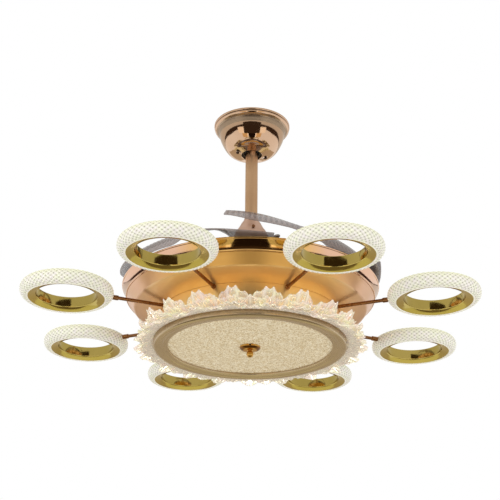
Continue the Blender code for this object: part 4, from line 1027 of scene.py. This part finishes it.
def leaf_mesh(name, length, width, folds, cup, ridge):
    """A petal cluster that fans out along +X in sharp folds, with a notched edge that curls up."""
    across = LEAF_FOLD_STEPS * folds
    bm = bmesh.new()
    ridged = bm.verts.layers.float.new("ridge")

    def point(side, i, k):
        u = i / LEAF_STEPS
        v = 2 * k / across - 1
        fold = abs(math.cos(math.pi * folds * (v + 1) / 2))
        tooth = abs(math.cos(math.pi * folds * (v + 1)))
        notch = LEAF_NOTCH * (1 - fold) + LEAF_TOOTH_NOTCH * (1 - tooth)
        x = length * u * (1.0 - LEAF_ROUNDING * abs(v) ** 1.9 - notch * u ** 3)
        fan = LEAF_ROOT_WIDTH + (1.0 - LEAF_ROOT_WIDTH) * math.sin(math.pi * LEAF_SHOULDER * u)
        lift = cup * (u ** 2.2) + LEAF_SIDE_CUP * cup * abs(v) ** 2 * u
        z = lift + ridge * fold * min(u * 1.6, 1.0) + LEAF_TOOTH_RIDGE * ridge * tooth * u
        thin = (1.0 - LEAF_TIP_THINNING * u ** 2) * (1.0 - LEAF_SIDE_THINNING * abs(v) ** 3)
        vert = bm.verts.new((x, width * 0.5 * v * fan, z + side * PETAL_THICKNESS * thin))
        vert[ridged] = max(fold ** 6, 0.75 * u ** 6, 0.7 * abs(v) ** 8)
        return vert

    top, bottom = two_sheets(bm, LEAF_STEPS + 1, across + 1, point)
    rim = [(top[0][k], bottom[0][k]) for k in range(across + 1)]
    rim += [(top[i][across], bottom[i][across]) for i in range(1, LEAF_STEPS + 1)]
    rim += [(top[-1][k], bottom[-1][k]) for k in range(across - 1, -1, -1)]
    rim += [(top[i][0], bottom[i][0]) for i in range(LEAF_STEPS - 1, 0, -1)]
    sheet_faces(bm, rim + rim[:1])
    return piece(name, bm, PETAL_CRYSTAL, 0)


def frill_mesh():
    """The frosted skirt under the petals: one sheet round the bezel with a ruffled, scalloped edge.

    Pairs of waves that don't divide each other keep the ruffles and the nibbled edge from looking regular.
    """
    bm = bmesh.new()

    def point(side, ring, i):
        share = ring / FRILL_RINGS
        angle = math.tau * i / FRILL_AROUND
        scallop = abs(math.cos(PETALS / 2 * angle + math.pi / 2)) ** 0.6
        nibble = math.cos(87 * angle) * math.cos(43 * angle + 1.0)
        length = FRILL_LENGTH * (0.52 + 0.40 * scallop + 0.08 * nibble)
        crumple = math.cos(61 * angle + 4 * share) * math.cos(37 * angle - 7 * share)
        wave = FRILL_WAVE * share ** 0.7 * (crumple + 0.6 * math.cos(PETALS * 2 * angle + 0.6))
        wall = side * FRILL_THICKNESS * (1.0 - 0.6 * share ** 3)
        h = FRILL_H - FRILL_DROP * share ** 1.3 + wave + wall
        return bm.verts.new(polar(FRILL_START_R + length * share, angle, height(h)))

    sides = two_sheets(bm, FRILL_RINGS + 1, FRILL_AROUND, point, looped=True)
    for ring in (0, FRILL_RINGS):
        edge = list(zip(sides[0][ring], sides[1][ring]))
        sheet_faces(bm, edge + edge[:1])
    return bm


def make_skirt():
    """The flange, the frosted frill under it and five rows of petal clusters."""
    low, high = SKIRT_H, SKIRT_H + SKIRT_FLANGE
    inner_r = DRUM_R + SKIRT_GAP
    flange = [(SKIRT_FLANGE_R, high), (SKIRT_FLANGE_R, low), (inner_r, low), (inner_r, high)]
    turned_part("petal_flange", flange, 0.0008, FROSTED_CRYSTAL, "crystal", "crystal_skirt", points=4)
    given(piece("frosted_frill", frill_mesh(), FROSTED_CRYSTAL, 0), "crystal")
    place = Matrix.Translation((0.0, 0.0, height(SKIRT_H + SKIRT_FLANGE / 2)))
    start = -math.pi / 2
    half = start + math.tau / PETALS / 2
    # Name, length, width, folds, cup, ridge, tilt in degrees, first angle and seed.
    rows = [
        ("upper_petals", 0.0425, 0.0560, 3, 0.0070, 0.0046, 25, half, 3),
        ("inner_petals", 0.0330, 0.0420, 3, 0.0035, 0.0040, 4, half, 4),
        ("between_petals", 0.0290, 0.0380, 2, 0.0030, 0.0036, 12, start, 5),
        ("edge_petals", 0.0410, 0.0480, 3, -0.0020, 0.0036, -13, half, 6),
        ("lower_petals", 0.0430, 0.0520, 3, -0.0030, 0.0040, -22, start, 8),
    ]
    for name, length, width, folds, cup, ridge, tilt, first, seed in rows:
        leaf = leaf_mesh(name + "_leaf", length, width, folds, cup, ridge)
        tree = petal_row_tree(leaf)
        made = grown(name, tree, place, Tilt=math.radians(tilt), First_Angle=first, Seed=seed)
        bpy.data.objects.remove(leaf)
        given(made, "crystal")


def make_lamps():
    """Eight ring lamps, each a gold band with its flange and sleeve, a faceted crystal ring and an arm."""
    inner_r = BAND_R - BAND_WALL
    slope = (FLANGE_H - FLANGE_INNER_H) / (FLANGE_R - inner_r)
    profile = [(BAND_R, BAND_TOP_H), (BAND_R, FLANGE_INNER_H + FLANGE_THICKNESS + slope * BAND_WALL)]
    profile += stepped(FLANGE_R, FLANGE_H + FLANGE_THICKNESS, FLANGE_TOP_STEPS)
    profile += stepped(FLANGE_R, FLANGE_H, FLANGE_FOOT_STEPS)
    profile += stepped(inner_r, FLANGE_INNER_H, FLANGE_INNER_STEPS)
    profile += stepped(inner_r, BAND_TOP_H, BAND_LIP_STEPS)
    ring_tree = crystal_ring_tree()
    arm_end = LAMP_CIRCLE_R - SLEEVE_END + ARM_IN_SLEEVE
    collar = [(DRUM_R + gap, 0.0, ARM_H) for gap in (COLLAR_GAP, COLLAR_END)]
    for i in range(LAMPS):
        angle = LAMP_TURN + math.tau * i / LAMPS
        turn = Matrix.Rotation(angle, 4, "Z")
        place = Matrix.Translation(polar(LAMP_CIRCLE_R, angle, -DROP)) @ turn
        bm = turned(bmesh.new(), soft(profile, 0.0003, points=3), BAND_STEPS)
        ring_faces = len(bm.faces)
        sleeve = [(-(BAND_R - SLEEVE_IN_BAND), 0.0, ARM_H), (-SLEEVE_END, 0.0, ARM_H)]
        bar(bm, SLEEVE_R, *sleeve, SLEEVE_SIDES, SLEEVE_ROUND)
        bm.faces.ensure_lookup_table()
        for face in bm.faces[ring_faces:]:
            face.material_index = 1
        band = piece(f"lamp_{i + 1}_band", bm, RING_GOLD)
        band.data.materials.append(ARM_GOLD)
        band.data.transform(place)
        given(band, "gold", f"lamp_band_{i + 1}")
        given(grown(f"lamp_{i + 1}_crystal", ring_tree, place), "crystal", f"lamp_crystal_{i + 1}")
        bm = bmesh.new()
        bar(bm, ARM_R, (DRUM_R - ARM_IN_DRUM, 0.0, ARM_H), (arm_end, 0.0, ARM_H), ARM_SIDES)
        bar(bm, ARM_R + COLLAR_RISE, *collar, ARM_SIDES, SLEEVE_ROUND)
        arm = piece(f"arm_{i + 1}", bm, ARM_GOLD)
        arm.data.transform(Matrix.Translation((0.0, 0.0, -DROP)) @ turn)
        given(arm, "gold", f"lamp_arm_{i + 1}")


def blade_radii(degrees):
    """Inner and outer radius of a folded blade at an angle from its pivot."""
    root_outer = BLADE_OUTER_R - BLADE_ROOT_STEP
    root_r = root_outer - BLADE_ROOT_WIDTH
    wide = root_r + (BLADE_OUTER_R - BLADE_WIDTH - root_r) * ramp(degrees, *ROOT_WIDENS)
    inner_r = wide + (BLADE_OUTER_R - BLADE_TIP_WIDTH - wide) * ramp(degrees, *TIP_NARROWS)
    return inner_r, root_outer + BLADE_ROOT_STEP * ramp(degrees, *ROOT_REACHES)


def blade_height(degrees, share):
    """Height of a folded blade at an angle from its pivot and a share of its width from the inner edge."""
    inner_r, outer_r = blade_radii(degrees)
    lift = BLADE_ROOT_LIFT + BLADE_BODY_LIFT * ramp(degrees, *BODY_RISES)
    lift += BLADE_TIP_LIFT * ramp(degrees, *TIP_RISES)
    pitch = BLADE_PITCH * ramp(degrees, *BODY_TILTS) + BLADE_TIP_PITCH * ramp(degrees, *TIP_TILTS)
    evenness = ramp(degrees, *ROOT_LEVELS)
    rise = lift * (evenness + (1.0 - evenness) * share * share)
    fullness = ramp(degrees, *DROOP_COMES) * (1.0 - DROOP_TIP_SHARE * ramp(degrees, *DROOP_WANES))
    fullness *= 1.0 - ramp(degrees, *DROOP_ENDS)
    droop = BLADE_DROOP * fullness * (max(share - DROOP_START, 0.0) / (1.0 - DROOP_START)) ** 2
    return BLADE_ROOT_H + rise + (outer_r - inner_r) * (1.0 - share) * math.tan(pitch) - droop


def make_blades():
    """Tilted crescents with a drooping outer lip and fine ribs, smooth at their roots and edges."""
    for blade in range(PIVOT_COUNT):
        turn = PIVOT_TURN + math.tau * blade / PIVOT_COUNT
        bm = bmesh.new()
        ribbed = bm.verts.layers.float.new("rib")
        rows = []
        for i in range(BLADE_SECTIONS):
            along = -BLADE_HEEL + (BLADE_SPAN + BLADE_HEEL) * i / (BLADE_SECTIONS - 1)
            degrees = math.degrees(along)
            inner_r, outer_r = blade_radii(degrees)
            wave = math.cos(math.tau * along / RIB_PITCH) * ramp(degrees, *RIBS_COME)
            row = []
            for k in range(BLADE_ACROSS):
                share = k / (BLADE_ACROSS - 1)
                edge = ramp(share, 0.0, RIB_MARGIN) * ramp(1 - share, 0.0, RIB_MARGIN)
                z = height(blade_height(degrees, share)) + RIB_DEPTH * wave * edge
                vert = bm.verts.new(polar(inner_r + (outer_r - inner_r) * share, turn - along, z))
                # The rib value also places the painted shade along the ribs' low lines.
                vert[ribbed] = 1.0 - edge * ramp(degrees, *RIBS_COME) * (0.5 - 0.5 * wave)
                row.append(vert)
            rows.append(row)
        sheet_faces(bm, rows)
        leaf = piece(f"blade_leaf_{blade + 1}", bm, SMOKED_ACRYLIC)
        wall = leaf.modifiers.new("thickness", "SOLIDIFY")
        wall.thickness = BLADE_THICKNESS
        wall.offset = 0.0
        given(leaf, "smoked_acrylic", f"blade_{blade + 1}", body=f"fan_blade_{blade + 1}")


def dress_nodes():
    """Finishes for the CAD nodes that stay as they are."""
    bearings = ["lower_bearing", "upper_bearing"]
    finishes = {
        DARK_ZINC: ["ceiling_bracket"],
        COVER_SCREW: ["cover_screw"],
        ZINC: ["yoke", "motor_shaft", "motor_shell", "motor_cap", "blade_carrier"] + bearings,
        DARK_SCREW: ["canopy_screw_left", "canopy_screw_right", "ball_pin", "yoke_bolt"],
        GEAR_BRASS: ["sync_gear"],
        COPPER: ["stator"],
        BLACK_PLASTIC: ["receiver_box", "hanger_ball"],
        WHITE_PLASTIC: ["led_board"],
        HUB_ZINC: [f"blade_hub_{i + 1}" for i in range(PIVOT_COUNT)],
    }
    for material, names in finishes.items():
        for name in names:
            mesh = frame["nodes"][name].data
            mesh.materials.clear()
            mesh.materials.append(material)


def seen_white(tree, shader, output):
    """Gives an output the shader for light, and plain white for what the camera, mirrors and glass see."""
    rays = tree.nodes.new("ShaderNodeLightPath").outputs
    seen = calc(tree, "MAXIMUM", rays["Is Camera Ray"], rays["Is Transmission Ray"])
    seen = calc(tree, "MAXIMUM", seen, rays["Is Glossy Ray"])
    kind = "ShaderNodeBackground" if shader.type == "BACKGROUND" else "ShaderNodeEmission"
    mix = tree.nodes.new("ShaderNodeMixShader")
    put(tree, mix.inputs[0], seen)
    put(tree, mix.inputs[1], shader.outputs[0])
    put(tree, mix.inputs[2], add(tree, kind, Color=WHITE, Strength=1.0).outputs[0])
    put(tree, tree.nodes[output].inputs["Surface"], mix.outputs[0])


def make_world():
    world = bpy.data.worlds.new("studio")
    world.use_nodes = True
    bpy.context.scene.world = world
    soft_light = world.node_tree.nodes["Background"]
    soft_light.inputs["Color"].default_value = SOFT_LIGHT
    soft_light.inputs["Strength"].default_value = SOFT_LIGHT_STRENGTH
    seen_white(world.node_tree, soft_light, "World Output")


def make_floor():
    bm = bmesh.new()
    place = Matrix.Translation((0, 0, FLOOR_Z))
    bmesh.ops.create_grid(bm, x_segments=1, y_segments=1, size=FLOOR_SIZE, matrix=place)
    material, tree = new_material("pale_floor")
    shader = shader_of(material)
    shader.inputs["Base Color"].default_value = FLOOR_COLOUR
    shader.inputs["Roughness"].default_value = FLOOR_ROUGHNESS
    seen_white(tree, shader, "Material Output")
    piece("studio_floor", bm, material)


def mirror_only(name, bm, colour, strength=1.0):
    """A glowing piece of the studio that only mirrors see."""
    material, tree = new_material(name)
    glow = add(tree, "ShaderNodeEmission", Color=(*colour, 1.0), Strength=strength)
    put(tree, tree.nodes["Material Output"].inputs["Surface"], glow.outputs[0])
    obj = piece(name, bm, material)
    obj.visible_camera = False
    obj.visible_diffuse = False
    obj.visible_shadow = False
    obj.visible_transmission = False


def card(name, corner, opposite, colour, strength):
    """A flat upright or level card."""
    x0, y0, z0 = corner
    x1, y1, z1 = opposite
    bm = bmesh.new()
    if y0 == y1:
        outline = [(x0, y0, z0), (x1, y0, z0), (x1, y0, z1), (x0, y0, z1)]
    else:
        outline = [(x0, y0, z0), (x1, y0, z0), (x1, y1, z0), (x0, y1, z0)]
    bm.faces.new([bm.verts.new(point) for point in outline])
    mirror_only(name, bm, colour, strength)


def wall_line(y):
    """Where the pale wall starts and its dark foot ends. The line rises away from the camera."""
    return LINE_Z + LINE_SLOPE * y


def pale_wall(y):
    return wall_line(y), WALL_TOP_Z


def dark_foot(y):
    """The foot is deepest on the camera's side and tapers to almost nothing at the back."""
    taper = min(max((FOOT_END_Y - y) / FOOT_TAPER, FOOT_LEAST), 1.0)
    return wall_line(y) - FOOT_DEPTH * taper, wall_line(y) + FOOT_RISE


def wall_card(name, radius, colour, edges):
    """An upright band all round. Edges gives its lowest and highest z for a y."""
    bm = bmesh.new()
    rings = []
    for i in range(WALL_SIDES):
        foot = polar(radius, math.tau * i / WALL_SIDES)
        rings.append([bm.verts.new((foot.x, foot.y, z)) for z in edges(foot.y)])
    sheet_faces(bm, rings + rings[:1])
    mirror_only(name, bm, colour)


def softbox(name, place, size, power):
    data = bpy.data.lights.new(name, "AREA")
    data.shape = "RECTANGLE"
    data.size, data.size_y = size
    data.energy = power
    obj = bpy.data.objects.new(name, data)
    bpy.context.scene.collection.objects.link(obj)
    obj.location = place
    obj.rotation_euler = (LIGHT_AIM - Vector(place)).to_track_quat("-Z", "Y").to_euler()
    obj.visible_glossy = False


def make_camera():
    data = bpy.data.cameras.new("camera")
    data.lens = CAMERA_LENS
    data.sensor_width = CAMERA_SENSOR
    data.clip_start = CAMERA_NEAR
    data.shift_x = CAMERA_SHIFT
    camera = bpy.data.objects.new("camera", data)
    bpy.context.scene.collection.objects.link(camera)
    camera.location = CAMERA_AT
    tilt = Matrix.Rotation(math.pi / 2 + CAMERA_PITCH, 4, "X") @ Matrix.Rotation(CAMERA_ROLL, 4, "Z")
    camera.rotation_euler = tilt.to_euler()
    bpy.context.scene.camera = camera


def make_studio():
    """White surroundings, cards for the metals to mirror, three softboxes and the photo's camera."""
    make_world()
    make_floor()
    for row in FRONT_CARDS:
        card(*row)
    for side in (-1, 1):
        for name, (x0, y0, z0), (x1, y1, z1), colour, strength in SIDE_CARDS:
            card(f"{name}_{side + 1}", (side * x0, y0, z0), (side * x1, y1, z1), colour, strength)
    wall_card("studio_wall", WALL_R, WALL_COLOUR, pale_wall)
    wall_card("wall_foot", FOOT_R, FOOT_COLOUR, dark_foot)
    for row in FAR_CARDS:
        card(*row)
    for row in SOFTBOXES:
        softbox(*row)
    make_camera()
    bpy.context.scene.view_settings.view_transform = "Standard"


make_canopy()
make_rod_and_cover()
make_housing()
make_light()
make_skirt()
make_lamps()
make_blades()
dress_nodes()
make_studio()
